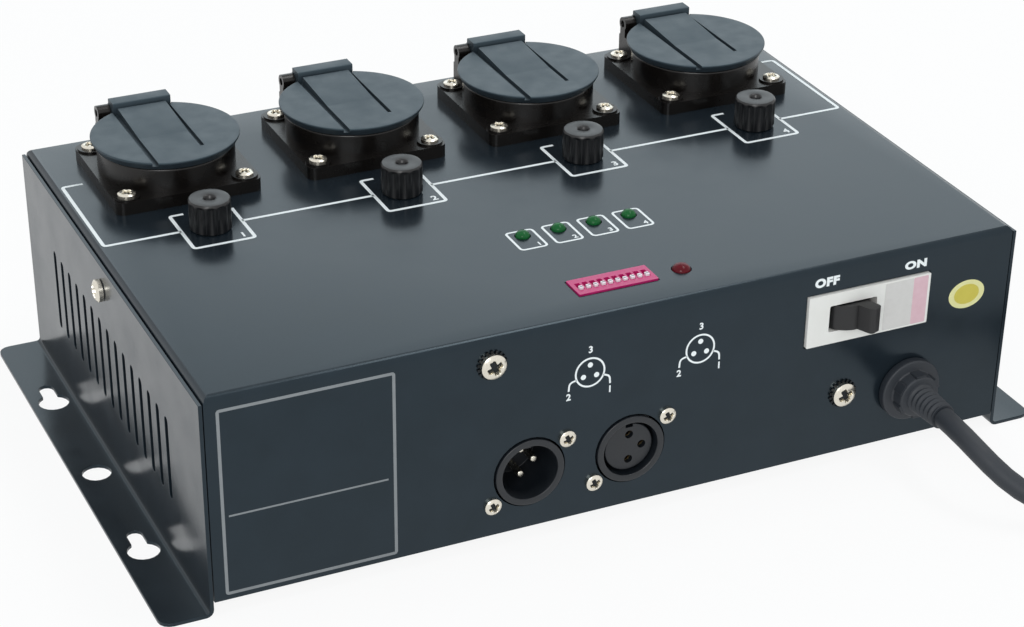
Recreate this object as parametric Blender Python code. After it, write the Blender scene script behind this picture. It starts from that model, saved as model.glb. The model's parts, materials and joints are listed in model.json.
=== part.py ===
"""A four channel lighting switch pack: a steel box with four lidded mains sockets and their fuses on
top, and the breaker, the data connectors and the mains cord in front.

Metres, +Z up, +X to the right along the front, +Y to the back. The pack stands on its flanges at the
height of the origin, which lies about midway between the tip of the breaker's lever and the back.
The sizes below are measured from the middle of the box, BOX_SHIFT behind the origin.
"""
import math

import bmesh
import bpy
import numpy as np
from mathutils import Matrix, Vector

# Housing
BOX_SHIFT = 0.005
BODY_W = 0.279
BODY_D = 0.186
TOP_Z = 0.0755
PANEL_BOTTOM_Z = 0.005
SHEET = 0.0012
EDGE_R = 0.0025
GAP = 0.0003
LIP_TOP = 0.0160
LIP_SIDE = 0.0090
PLATE_TOP_DROP = 0.0020

# Mounting flanges of the end plates
FLANGE_W = 0.0155
BEND_R = 0.0013
FLANGE_CORNER_R = 0.0040
HOLE_INSET = 0.0078
HOLE_PITCH = 0.0500
HOLE_SHIFT = -0.0015
HOLE_R = 0.0048
KEY_R = 0.0052
KEY_SLOT_R = 0.0025
KEY_SLOT_RUN = 0.0095

# Vents in the end plates
VENT_COUNT = 15
VENT_PITCH = 0.0085
VENT_W = 0.0030
VENT_LOW_Z = 0.0230
VENT_HIGH_Z = 0.0520

# Screws of the end plates
END_SCREW_Y = 0.0028
END_SCREW_Z = 0.0648
END_SCREW_R = 0.0038
END_SCREW_HEAD = 0.0024

# Bottom tray
TRAY_RISE = 0.0010
TRAY_LIP = 0.0050

# Sockets, measured from the top panel
CHANNELS = 4
CHANNEL_PITCH = 0.0666
SOCKET_Y = 0.0544
SOCKET_FLANGE = 0.0500
SOCKET_FLANGE_T = 0.0043
SOCKET_FLANGE_R = 0.0030
SOCKET_NECK_R = 0.0230
SOCKET_NECK_H = 0.0123
SOCKET_REAR_R = 0.0210
SOCKET_REAR_DEPTH = 0.0280
RECESS_R = 0.0195
RECESS_DEPTH = 0.0175
CONTACT_HOLE_R = 0.0028
CONTACT_PITCH = 0.0190
CONTACT_DEPTH = 0.0160

# Splash lids, measured from the hinge axis
LID_R = 0.0248
LID_T = 0.0027
LID_UNDER = -0.0010
LID_BOSS_R = 0.0186
LID_BOSS_H = 0.0020
HINGE_Y = 0.0275
HINGE_Z = 0.0136
PIN_R = 0.0010
PIN_PLAY = 0.0003
KNUCKLE_R = 0.0028
BAR_LEFT = -0.0107
BAR_RIGHT = 0.0096
BAR_FRONT = -0.0080
BAR_BACK = 0.0012
BAR_TOP = 0.0042
EAR_R = 0.0025
EAR_POST = 0.0018
LEFT_EAR = (-0.0154, -0.0110)
RIGHT_EAR = (0.0043, 0.0085)
BRACKET_TOP = 0.0090
BRACKET_FRONT = 0.0180
LID_GROOVES = [(-0.0104, 0.0260), (0.0079, 0.0137)]
GROOVE_W = 0.0010
GROOVE_DEPTH = 0.0006

# Fuse holders, measured from the top panel
FUSE_Y = 0.0101
HOLDER_RIM_R = 0.0066
HOLDER_RIM_T = 0.0013
HOLDER_R = 0.0058
HOLDER_DEPTH = 0.0320
FUSE_R = 0.0025
FUSE_LEN = 0.0200
FUSE_FLOOR = 0.0030
CAP_R = 0.0070
CAP_TOP = 0.0108
CAP_FLUTES = 12
CAP_FLUTE_DEPTH = 0.0005
CAP_DIMPLE_R = 0.0019
CAP_DIMPLE_DEPTH = 0.0010
CAP_SPIGOT_R = 0.0039
SPIGOT_END = -0.0120
FUSE_TOP = FUSE_FLOOR + GAP + FUSE_LEN - HOLDER_DEPTH

# Indicators
LED_X = -0.0105
LED_PITCH = 0.0127
LED_Y = -0.0355
LED_R = 0.0024
LED_HEIGHT = 0.0014
SIGNAL_X = 0.0253
SIGNAL_Y = -0.0763
SIGNAL_R = 0.0030

# Address switch
DIP_X = 0.0018
DIP_Y = -0.0750
DIP_W = 0.0274
DIP_D = 0.0099
DIP_PROUD = 0.0005
DIP_WAYS = 10
DIP_PITCH = 0.00254
SLIDER_W = 0.0011
SLIDER_D = 0.0014
SLIDER_H = 0.0018
SLIDER_PROUD = 0.0006
SLIDER_TRAVEL = 0.0024

# Control board
BOARD_X = (-0.0620, 0.0400)
BOARD_FRONT_GAP = 0.0038
BOARD_BACK_Y = -0.0240
BOARD_TOP_Z = 0.0645
BOARD_T = 0.0016
SPACER_R = 0.0030
SPACER_INSET = 0.0050
RELAY_SIZE = (0.0127, 0.0290, 0.0157)
RELAY_PITCH = 0.0180
RELAY_X = -0.0500
RELAY_Y = -0.0480
TERMINAL_SIZE = (0.0600, 0.0075, 0.0080)

# Transformer
CORE_SIZE = (0.0410, 0.0170, 0.0340)
WINDING_SIZE = (0.0270, 0.0290, 0.0230)
FOOT_SIZE = (0.0560, 0.0170, 0.0020)
TRANSFORMER_INSET = 0.0445
TRANSFORMER_Y = -0.0400

# Breaker
BREAKER_X = 0.0847
BREAKER_Z = 0.0564
BREAKER_FACE_W = 0.0450
BREAKER_FACE_H = 0.0180
BREAKER_PROUD = 0.0010
BREAKER_NOSE = 0.0120
BREAKER_BODY_W = 0.0800
BREAKER_BODY_D = 0.0440
LEVER_X = 0.0787
LEVER_SLOT_H = 0.0094
LEVER_AXIS_DEPTH = 0.0060
LEVER_HUB_R = 0.0083
LEVER_LEN = 0.0135
LEVER_T = 0.0045
LEVER_PLAY = 0.0004
LEVER_HALF_SWING = 22.0

# Data connectors
XLR_Z = 0.0251
XLR_IN_X = -0.0342
XLR_OUT_X = 0.0007
XLR_NOSE_R = 0.0119
XLR_PROUD = 0.0008
XLR_CUP_R = 0.0094
XLR_CUP_DEPTH = 0.0140
XLR_PLATE = (0.0310, 0.0255)
XLR_PLATE_T = 0.0025
XLR_BODY = (0.0240, 0.0240)
XLR_BODY_D = 0.0200
XLR_PIN_R = 0.0012
XLR_PIN_LEN = 0.0110
XLR_PIN_CIRCLE = 0.0045
XLR_INSERT_R = 0.0078
XLR_INSERT_BACK = 0.0010
XLR_CONTACT_R = 0.0014
XLR_CONTACT_DEPTH = 0.0100

# Strain relief, measured out of the front panel
GLAND_X = 0.1027
GLAND_Z = 0.0240
GLAND_HOLE_R = 0.0080
GLAND_RIM_R = 0.0108
GLAND_RIM_T = 0.0035
GLAND_COLLAR_R = 0.0072
GLAND_COLLAR_END = 0.0085
GLAND_BOOT_R = 0.0050
GLAND_TIP_R = 0.0042
GLAND_LEN = 0.0220
GLAND_BARB_R = 0.0092
GLAND_BARB_LEN = 0.0060

# Mains cord
CORD_R = 0.0035
CORD_POINT_STEP = 0.0100
CORD_TOTAL = 1.5
COIL_X = 0.2120
COIL_OUTER_R = 0.0498
COIL_TURN_STEP = 0.0076
COIL_LAYER_STEP = 0.0076
COIL_LAYER_TURNS = 2.375
COIL_POINTS = 24
CORD_LOW_Z = 0.0036
LEAD_ROUTE = [
    (0.1032, -0.1290, 0.0226),
    (0.1056, -0.1370, 0.0190),
    (0.1100, -0.1445, 0.0142),
    (0.1165, -0.1508, 0.0098),
    (0.1250, -0.1557, 0.0066),
    (0.1350, -0.1590, 0.0047),
    (0.1470, -0.1610, 0.0038),
]
LEAD_END_Y = -0.1620

# Mains plug
PLUG_R = 0.0180
PLUG_BODY_LEN = 0.0300
PLUG_TAIL_R = 0.0062
PLUG_LEN = 0.0480
PLUG_PIN_R = 0.0024
PLUG_PIN_LEN = 0.0190
PLUG_PIN_PITCH = 0.0190
PLUG_RISE_RUN = 0.0450

ROUND = 32
SMALL_ROUND = 16
TINY_ROUND = 10

FRONT_Y = -BODY_D / 2
PANEL_BACK_Y = FRONT_Y + SHEET
PANEL_UNDER_Z = TOP_Z - SHEET
SHELL_X = BODY_W / 2 - SHEET - GAP
TRAY_TOP_Z = PANEL_BOTTOM_Z + TRAY_RISE + SHEET
BOARD_Y = (PANEL_BACK_Y + BOARD_FRONT_GAP, BOARD_BACK_Y)

TOWARDS_X = Matrix.Rotation(math.radians(90), 4, "Y")
TOWARDS_FRONT = Matrix.Rotation(math.radians(90), 4, "X")

# Colour, roughness and metallic value of each finish
FINISHES = {
    "black_steel": ((0.030, 0.036, 0.040), 0.32, 0.0),
    "black_plastic": ((0.022, 0.021, 0.020), 0.45, 0.0),
    "lid_plastic": ((0.040, 0.043, 0.046), 0.40, 0.0),
    "bright_steel": ((0.620, 0.610, 0.580), 0.30, 1.0),
    "glass": ((0.800, 0.850, 0.850), 0.05, 0.0),
    "green_lens": ((0.020, 0.120, 0.050), 0.20, 0.0),
    "red_lens": ((0.180, 0.010, 0.015), 0.20, 0.0),
    "switch_red": ((0.560, 0.090, 0.210), 0.40, 0.0),
    "white_plastic": ((0.780, 0.770, 0.740), 0.45, 0.0),
    "board_green": ((0.030, 0.160, 0.070), 0.50, 0.0),
    "relay_blue": ((0.050, 0.130, 0.360), 0.45, 0.0),
    "cord_black": ((0.028, 0.030, 0.034), 0.55, 0.0),
}


def finish(name):
    """The material called name, made once."""
    if name in bpy.data.materials:
        return bpy.data.materials[name]
    colour, roughness, metallic = FINISHES[name]
    material = bpy.data.materials.new(name)
    material.use_nodes = True
    shader = material.node_tree.nodes["Principled BSDF"]
    shader.inputs["Base Color"].default_value = (*colour, 1.0)
    shader.inputs["Roughness"].default_value = roughness
    shader.inputs["Metallic"].default_value = metallic
    return material


def circle(radius, steps, centre=(0.0, 0.0)):
    """A round outline."""
    turns = [2 * math.pi * i / steps for i in range(steps)]
    return [(centre[0] + radius * math.cos(a), centre[1] + radius * math.sin(a)) for a in turns]


def arc(centre, radius, start, end, steps):
    """Points along an arc, its angles in degrees."""
    angles = [math.radians(start + (end - start) * i / steps) for i in range(steps + 1)]
    return [(centre[0] + radius * math.cos(a), centre[1] + radius * math.sin(a)) for a in angles]


def rounded_rectangle(width, depth, radius, steps=4, centre=(0.0, 0.0)):
    """A rectangle's outline with round corners."""
    points = []
    for i, (sx, sy) in enumerate([(1, 1), (-1, 1), (-1, -1), (1, -1)]):
        corner = (centre[0] + sx * (width / 2 - radius), centre[1] + sy * (depth / 2 - radius))
        points += arc(corner, radius, 90 * i, 90 * (i + 1), steps)
    return points


def keyhole(centre):
    """A round hole that runs into a narrow slot towards +Y."""
    half = math.degrees(math.asin(KEY_SLOT_R / KEY_R))
    points = arc(centre, KEY_R, 90 + half, 450 - half, SMALL_ROUND)
    points += arc((centre[0], centre[1] + KEY_SLOT_RUN), KEY_SLOT_R, 0, 180, 6)
    return points


def prism(outline, low, high, axis="Z", solid=None):
    """An outline pulled along an axis. The outline is in XY, in XZ along Y, or in YZ along X."""
    solid = solid or bmesh.new()
    rings = []
    for level in (low, high):
        ring = []
        for u, v in outline:
            place = {"Z": (u, v, level), "Y": (u, level, v), "X": (level, u, v)}[axis]
            ring.append(solid.verts.new(place))
        rings.append(ring)
    count = len(outline)
    solid.faces.new(rings[0][::-1])
    solid.faces.new(rings[1])
    for i in range(count):
        j = (i + 1) % count
        solid.faces.new((rings[0][i], rings[0][j], rings[1][j], rings[1][i]))
    bmesh.ops.recalc_face_normals(solid, faces=solid.faces)
    return solid


def box(low, high, solid=None):
    """A box between two corners."""
    outline = [(low[0], low[1]), (high[0], low[1]), (high[0], high[1]), (low[0], high[1])]
    return prism(outline, low[2], high[2], solid=solid)


def turned(profile, steps, matrix=None):
    """A profile of (radius, height) points, which starts and ends on the axis, turned about Z."""
    solid = bmesh.new()
    rings = []
    for radius, height in profile:
        if radius < 1e-9:
            rings.append([solid.verts.new((0.0, 0.0, height))])
        else:
            rings.append([solid.verts.new((x, y, height)) for x, y in circle(radius, steps)])
    for lower, upper in zip(rings, rings[1:]):
        for i in range(steps):
            j = (i + 1) % steps
            corners = [lower[i % len(lower)], lower[j % len(lower)],
                       upper[j % len(upper)], upper[i % len(upper)]]
            solid.faces.new(list(dict.fromkeys(corners)))
    bmesh.ops.recalc_face_normals(solid, faces=solid.faces)
    if matrix:
        bmesh.ops.transform(solid, matrix=matrix, verts=solid.verts)
    return solid


def rod(radius, low, high, steps, matrix=None):
    """A cylinder about Z between two heights."""
    return turned([(0, low), (radius, low), (radius, high), (0, high)], steps, matrix)


def moved(solid, offset):
    """The same solid, shifted."""
    bmesh.ops.translate(solid, vec=Vector(offset), verts=solid.verts)
    return solid


def mesh_of(solid, name="shape"):
    """A solid as a mesh, with round faces smooth and corners sharp."""
    if isinstance(solid, bpy.types.Mesh):
        return solid
    mesh = bpy.data.meshes.new(name)
    solid.to_mesh(mesh)
    solid.free()
    return mesh


def combined(base, *steps):
    """A solid with others joined to it (UNION) or cut out of it (DIFFERENCE), as one mesh."""
    body = bpy.data.objects.new("body", mesh_of(base))
    helpers = [body]
    for operation, solid in steps:
        tool = bpy.data.objects.new("tool", mesh_of(solid))
        step = body.modifiers.new(operation.lower(), "BOOLEAN")
        step.operation = operation
        step.object = tool
        helpers.append(tool)
    for helper in helpers:
        bpy.context.scene.collection.objects.link(helper)
    graph = bpy.context.evaluated_depsgraph_get()
    mesh = bpy.data.meshes.new_from_object(body.evaluated_get(graph))
    for helper in helpers:
        bpy.data.objects.remove(helper)
    return mesh


def frame(name, location, parent=None):
    """An empty that carries the pieces of one sub-assembly."""
    empty = bpy.data.objects.new(name, None)
    bpy.context.scene.collection.objects.link(empty)
    empty.location = location
    empty.parent = parent
    return empty


def piece(name, solid, finish_name, location=(0, 0, 0), parent=None, turn=0.0):
    """One sub-part as a named object, turned about its own Z by some degrees."""
    mesh = mesh_of(solid)
    if not mesh.materials:
        mesh.shade_smooth()
        mesh.set_sharp_from_angle(angle=math.radians(35))
        mesh.materials.append(finish(finish_name))
    item = bpy.data.objects.new(name, mesh)
    bpy.context.scene.collection.objects.link(item)
    item.location = location
    item.rotation_euler = (0.0, 0.0, math.radians(turn))
    item.parent = parent
    return item


def channel_x(channel):
    """The place of a channel's socket and fuse along the top, channels counted from 0."""
    return (channel - (CHANNELS - 1) / 2) * CHANNEL_PITCH


def led_x(channel):
    """The place of a channel's indicator along the top."""
    return LED_X + channel * LED_PITCH


def folded_box(half_x, half_y, low, high, radius):
    """A box whose top edges are folded round."""
    solid = box((-half_x, -half_y, low), (half_x, half_y, high))
    edges = [e for e in solid.edges if all(abs(v.co.z - high) < 1e-6 for v in e.verts)]
    bmesh.ops.bevel(solid, geom=edges, offset=radius, segments=4, profile=0.5, affect="EDGES")
    return solid


def panel_holes():
    """Everything that is punched out of the top and the front, as one cutter."""
    below, above = PANEL_UNDER_Z - 4 * SHEET, TOP_Z + SHEET
    outside, inside = FRONT_Y - SHEET, PANEL_BACK_Y + 4 * SHEET
    cutter = bmesh.new()
    for channel in range(CHANNELS):
        x = channel_x(channel)
        prism(circle(SOCKET_REAR_R + GAP, ROUND, (x, SOCKET_Y)), below, above, solid=cutter)
        prism(circle(HOLDER_R + GAP, SMALL_ROUND, (x, FUSE_Y)), below, above, solid=cutter)
        prism(circle(LED_R + GAP, SMALL_ROUND, (led_x(channel), LED_Y)), below, above, solid=cutter)
    prism(circle(SIGNAL_R + GAP, SMALL_ROUND, (SIGNAL_X, SIGNAL_Y)), below, above, solid=cutter)
    half_w, half_d = DIP_W / 2 + GAP, DIP_D / 2 + GAP
    box((DIP_X - half_w, DIP_Y - half_d, below), (DIP_X + half_w, DIP_Y + half_d, above), cutter)
    for x in (XLR_IN_X, XLR_OUT_X):
        prism(circle(XLR_NOSE_R + GAP, ROUND, (x, XLR_Z)), outside, inside, "Y", cutter)
    prism(circle(GLAND_HOLE_R, ROUND, (GLAND_X, GLAND_Z)), outside, inside, "Y", cutter)
    half_w, half_h = BREAKER_FACE_W / 2 + GAP, BREAKER_FACE_H / 2 + GAP
    box((BREAKER_X - half_w, outside, BREAKER_Z - half_h),
        (BREAKER_X + half_w, inside, BREAKER_Z + half_h), cutter)
    return cutter


def make_top_shell():
    """Top, front and back folded from one sheet, with lips turned in at both ends."""
    outer = folded_box(SHELL_X, BODY_D / 2, PANEL_BOTTOM_Z, TOP_Z, EDGE_R)
    hollow = folded_box(SHELL_X - SHEET, BODY_D / 2 - SHEET, -SHEET, PANEL_UNDER_Z, EDGE_R - SHEET)
    window_y = BODY_D / 2 - LIP_SIDE
    window = box((-BODY_W, -window_y, -SHEET), (BODY_W, window_y, TOP_Z - LIP_TOP))
    shell = combined(outer, ("DIFFERENCE", hollow), ("DIFFERENCE", window),
                     ("DIFFERENCE", panel_holes()))
    piece("top_shell", shell, "black_steel")


def end_plate_outline(side):
    """The folded end plate seen from the front: the wall, the bend and the flange."""
    wall = BODY_W / 2
    bend = (wall + BEND_R, SHEET + BEND_R)
    top = TOP_Z - PLATE_TOP_DROP
    tip = wall + FLANGE_W
    points = [(wall - SHEET, top)]
    points += arc(bend, BEND_R + SHEET, 180, 270, 4)
    points += [(tip, 0.0), (tip, SHEET)]
    points += arc(bend, BEND_R, 270, 180, 4)
    points += [(wall, top)]
    return [(side * x, z) for x, z in points]


def make_end_plate(name, side):
    """A vented end wall and its mounting flange."""
    plate = prism(end_plate_outline(side), -BODY_D / 2, BODY_D / 2, "Y")
    tip = BODY_W / 2 + FLANGE_W
    edges = [e for e in plate.edges
             if all(abs(abs(v.co.x) - tip) < 1e-6 for v in e.verts)
             and abs(e.verts[0].co.z - e.verts[1].co.z) > SHEET / 2]
    bmesh.ops.bevel(plate, geom=edges, offset=FLANGE_CORNER_R, segments=4, profile=0.5,
                    affect="EDGES")
    vents = bmesh.new()
    for i in range(VENT_COUNT):
        y = (i - (VENT_COUNT - 1) / 2) * VENT_PITCH
        outline = arc((y, VENT_LOW_Z + VENT_W / 2), VENT_W / 2, 180, 360, 4)
        outline += arc((y, VENT_HIGH_Z - VENT_W / 2), VENT_W / 2, 0, 180, 4)
        wall = sorted((side * (BODY_W / 2 - 2 * SHEET), side * (BODY_W / 2 + SHEET)))
        prism(outline, wall[0], wall[1], "X", vents)
    x = side * (tip - HOLE_INSET)
    holes = prism(circle(HOLE_R, SMALL_ROUND, (x, HOLE_SHIFT)), -SHEET, 2 * SHEET)
    for y in (HOLE_SHIFT - HOLE_PITCH, HOLE_SHIFT + HOLE_PITCH):
        prism(keyhole((x, y)), -SHEET, 2 * SHEET, solid=holes)
    piece(name, combined(plate, ("DIFFERENCE", vents), ("DIFFERENCE", holes)), "black_steel")


def make_bottom_plate():
    """A shallow tray inside the lower edge of the shell."""
    half_x, half_y = SHELL_X - SHEET - GAP, BODY_D / 2 - SHEET - GAP
    low = PANEL_BOTTOM_Z + TRAY_RISE
    tray = box((-half_x, -half_y, low), (half_x, half_y, low + TRAY_LIP))
    hollow = box((SHEET - half_x, SHEET - half_y, TRAY_TOP_Z),
                 (half_x - SHEET, half_y - SHEET, low + 2 * TRAY_LIP))
    piece("bottom_plate", combined(tray, ("DIFFERENCE", hollow)), "black_steel")


def hinge_ear(span):
    """An upright ear of the hinge bracket, round about the pin, on a narrower post."""
    below = math.degrees(math.acos(EAR_POST / EAR_R))
    outline = [(HINGE_Y - EAR_POST, BRACKET_TOP - SHEET), (HINGE_Y + EAR_POST, BRACKET_TOP - SHEET)]
    outline += arc((HINGE_Y, HINGE_Z), EAR_R, -below, 180 + below, 12)
    return prism(outline, span[0], span[1], "X")


def socket_body():
    """Flange, round neck and rear housing, the recess with two contact holes, and the hinge ears."""
    flange = prism(rounded_rectangle(SOCKET_FLANGE, SOCKET_FLANGE, SOCKET_FLANGE_R), GAP,
                   SOCKET_FLANGE_T)
    step = SOCKET_FLANGE_T / 2
    barrel = turned([(0, -SOCKET_REAR_DEPTH), (SOCKET_REAR_R, -SOCKET_REAR_DEPTH),
                     (SOCKET_REAR_R, step), (SOCKET_NECK_R, step),
                     (SOCKET_NECK_R, SOCKET_NECK_H), (0, SOCKET_NECK_H)], ROUND)
    bracket = box((LEFT_EAR[0], BRACKET_FRONT, step), (BAR_RIGHT, HINGE_Y + EAR_R, BRACKET_TOP))
    floor = SOCKET_NECK_H - RECESS_DEPTH
    recess = rod(RECESS_R, floor, SOCKET_NECK_H + SHEET, ROUND)
    contacts = bmesh.new()
    for x in (-CONTACT_PITCH / 2, CONTACT_PITCH / 2):
        prism(circle(CONTACT_HOLE_R, TINY_ROUND, (x, 0)), floor - CONTACT_DEPTH, floor + SHEET,
              solid=contacts)
    bore = moved(rod(PIN_R + PIN_PLAY, LEFT_EAR[0] + SHEET / 2, RIGHT_EAR[1] + SHEET, TINY_ROUND,
                     TOWARDS_X), (0, HINGE_Y, HINGE_Z))
    return combined(flange, ("UNION", barrel), ("UNION", bracket), ("UNION", hinge_ear(LEFT_EAR)),
                    ("UNION", hinge_ear(RIGHT_EAR)), ("DIFFERENCE", recess),
                    ("DIFFERENCE", contacts), ("DIFFERENCE", bore))


def splash_lid():
    """The round lid about its hinge axis, with its sealing boss, hinge bar and two grooves."""
    top = LID_UNDER + LID_T
    rim = LID_T / 4
    under = LID_UNDER - LID_BOSS_H
    disc = turned([(0, under), (LID_BOSS_R, under), (LID_BOSS_R, LID_UNDER), (LID_R, LID_UNDER),
                   (LID_R, top - rim), (LID_R - rim, top), (0, top)], ROUND)
    moved(disc, (0, -HINGE_Y, 0))
    bar = prism([(BAR_FRONT, LID_UNDER), (BAR_BACK, LID_UNDER), (BAR_BACK, BAR_TOP - rim),
                 (BAR_BACK - rim, BAR_TOP), (BAR_FRONT + rim, BAR_TOP), (BAR_FRONT, BAR_TOP - rim)],
                BAR_LEFT, BAR_RIGHT, "X")
    knuckle = rod(KNUCKLE_R, BAR_LEFT, RIGHT_EAR[0] - PIN_PLAY, SMALL_ROUND, TOWARDS_X)
    swing = EAR_R + PIN_PLAY
    notch = box((RIGHT_EAR[0] - PIN_PLAY, -swing, -2 * swing),
                (RIGHT_EAR[1] + PIN_PLAY, 2 * swing, swing))
    bore = rod(PIN_R + PIN_PLAY, BAR_LEFT - SHEET, RIGHT_EAR[1], TINY_ROUND, TOWARDS_X)
    grooves = bmesh.new()
    for x, reach in LID_GROOVES:
        box((x - GROOVE_W / 2, -HINGE_Y - reach, top - GROOVE_DEPTH),
            (x + GROOVE_W / 2, BAR_FRONT - GROOVE_W, top + SHEET), grooves)
    return combined(disc, ("UNION", bar), ("UNION", knuckle), ("DIFFERENCE", notch),
                    ("DIFFERENCE", bore), ("DIFFERENCE", grooves))


def make_sockets():
    """The four mains sockets, each with its lid and hinge pin."""
    body, lid = socket_body(), splash_lid()
    pin = mesh_of(rod(PIN_R, LEFT_EAR[0] + SHEET / 2 + GAP, RIGHT_EAR[1], TINY_ROUND, TOWARDS_X))
    for channel in range(CHANNELS):
        number = channel + 1
        base = frame(f"socket_{number}", (channel_x(channel), SOCKET_Y, TOP_Z))
        piece(f"socket_body_{number}", body, "black_plastic", parent=base)
        piece(f"splash_lid_{number}", lid, "lid_plastic", (0, HINGE_Y, HINGE_Z), base)
        piece(f"hinge_pin_{number}", pin, "bright_steel", (0, HINGE_Y, HINGE_Z), base)


def fuse_holder():
    """A panel holder: its rim, its barrel and its stepped bore."""
    rim_top = GAP + HOLDER_RIM_T
    floor = FUSE_FLOOR - HOLDER_DEPTH
    wide, narrow = CAP_SPIGOT_R + GAP, FUSE_R + 2 * GAP
    return turned([(0, -HOLDER_DEPTH), (HOLDER_R, -HOLDER_DEPTH), (HOLDER_R, GAP),
                   (HOLDER_RIM_R, GAP), (HOLDER_RIM_R, rim_top), (wide, rim_top),
                   (wide, SPIGOT_END - GAP), (narrow, SPIGOT_END - GAP), (narrow, floor),
                   (0, floor)], ROUND // 2)


def fuse_cap():
    """A fluted knob on a hollow spigot that grips the fuse link."""
    low = GAP + HOLDER_RIM_T + GAP
    steps = CAP_FLUTES * 4
    outline = []
    for i in range(steps):
        angle = 2 * math.pi * i / steps
        radius = CAP_R - CAP_FLUTE_DEPTH * (0.5 - 0.5 * math.cos(CAP_FLUTES * angle))
        outline.append((radius * math.cos(angle), radius * math.sin(angle)))
    knob = prism(outline, low, CAP_TOP)
    spigot = rod(CAP_SPIGOT_R, SPIGOT_END, low + SHEET, SMALL_ROUND)
    grip = rod(FUSE_R + GAP, SPIGOT_END - SHEET, FUSE_TOP + GAP, SMALL_ROUND)
    dimple = rod(CAP_DIMPLE_R, CAP_TOP - CAP_DIMPLE_DEPTH, CAP_TOP + SHEET, SMALL_ROUND)
    return combined(knob, ("UNION", spigot), ("DIFFERENCE", grip), ("DIFFERENCE", dimple))


def fuse_link():
    """A glass fuse: a tube between two metal end caps."""
    low = FUSE_TOP - FUSE_LEN
    ends = FUSE_LEN / 4
    neck = FUSE_R - GAP / 2
    return turned([(0, low), (FUSE_R, low), (FUSE_R, low + ends), (neck, low + ends),
                   (neck, FUSE_TOP - ends), (FUSE_R, FUSE_TOP - ends), (FUSE_R, FUSE_TOP),
                   (0, FUSE_TOP)], TINY_ROUND)


def make_fuses():
    """The four fuse holders, each with its cap and link."""
    holder, cap, link = mesh_of(fuse_holder()), fuse_cap(), mesh_of(fuse_link())
    for channel in range(CHANNELS):
        number = channel + 1
        base = frame(f"fuse_{number}", (channel_x(channel), FUSE_Y, TOP_Z))
        piece(f"fuse_holder_{number}", holder, "black_plastic", parent=base)
        piece(f"fuse_link_{number}", link, "glass", parent=base)
        piece(f"fuse_cap_{number}", cap, "black_plastic", parent=base)


def indicator(radius):
    """A round indicator on its spacer, from the board up to its dome above the top panel."""
    low = BOARD_TOP_Z + GAP
    collar = PANEL_UNDER_Z - GAP
    dome = TOP_Z + LED_HEIGHT - radius / 2
    profile = [(0, low), (radius, low), (radius, collar - SHEET), (radius + SHEET / 2, collar - SHEET),
               (radius + SHEET / 2, collar), (radius, collar), (radius, dome)]
    for i in range(1, 4):
        angle = math.radians(30 * i)
        profile.append((radius * math.cos(angle), dome + radius / 2 * math.sin(angle)))
    profile[-1] = (0, dome + radius / 2)
    return turned(profile, SMALL_ROUND)


def make_indicators():
    """Four green channel indicators and the red signal indicator."""
    green = mesh_of(indicator(LED_R))
    for channel in range(CHANNELS):
        piece(f"channel_led_{channel + 1}", green, "green_lens", (led_x(channel), LED_Y, 0))
    piece("signal_led", indicator(SIGNAL_R), "red_lens", (SIGNAL_X, SIGNAL_Y, 0))


def make_address_switch():
    """The ten-way slide switch that sets the address."""
    top = TOP_Z + DIP_PROUD
    slot_w = SLIDER_W + 2 * GAP
    slot_d = SLIDER_D + SLIDER_TRAVEL + 2 * GAP
    slot_floor = top + SLIDER_PROUD - SLIDER_H - GAP
    low = BOARD_TOP_Z + GAP
    body = box((-DIP_W / 2, -DIP_D / 2, low), (DIP_W / 2, DIP_D / 2, top))
    slots = bmesh.new()
    ways = [(i - (DIP_WAYS - 1) / 2) * DIP_PITCH for i in range(DIP_WAYS)]
    for x in ways:
        box((x - slot_w / 2, -slot_d / 2, slot_floor), (x + slot_w / 2, slot_d / 2, top + SHEET),
            slots)
    piece("address_switch", combined(body, ("DIFFERENCE", slots)), "switch_red", (DIP_X, DIP_Y, 0))
    slider = mesh_of(box((-SLIDER_W / 2, -SLIDER_D / 2, slot_floor + GAP),
                         (SLIDER_W / 2, SLIDER_D / 2, top + SLIDER_PROUD)))
    for i, x in enumerate(ways):
        piece(f"address_slider_{i + 1}", slider, "white_plastic",
              (DIP_X + x, DIP_Y - SLIDER_TRAVEL / 2, 0))


def make_control_board():
    """The board under the top panel, with its four spacers and its terminal block."""
    low = BOARD_TOP_Z - BOARD_T
    board = box((BOARD_X[0], BOARD_Y[0], low), (BOARD_X[1], BOARD_Y[1], BOARD_TOP_Z))
    spacers = bmesh.new()
    for x in (BOARD_X[0] + SPACER_INSET, BOARD_X[1] - SPACER_INSET):
        for y in (BOARD_Y[0] + SPACER_INSET, BOARD_Y[1] - SPACER_INSET):
            prism(circle(SPACER_R, TINY_ROUND, (x, y)), BOARD_TOP_Z - BOARD_T / 2,
                  PANEL_UNDER_Z - GAP, solid=spacers)
    width, depth, height = TERMINAL_SIZE
    centre_x = sum(BOARD_X) / 2
    back = BOARD_Y[1] - SHEET
    terminals = box((centre_x - width / 2, back - depth, low - height),
                    (centre_x + width / 2, back, BOARD_TOP_Z - BOARD_T / 2))
    piece("control_board", combined(board, ("UNION", spacers), ("UNION", terminals)), "board_green")
    width, depth, height = RELAY_SIZE
    relay = mesh_of(box((-width / 2, -depth / 2, -height), (width / 2, depth / 2, 0)))
    for channel in range(CHANNELS):
        place = (RELAY_X + channel * RELAY_PITCH, RELAY_Y, low - GAP)
        piece(f"relay_{channel + 1}", relay, "relay_blue", place)


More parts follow.
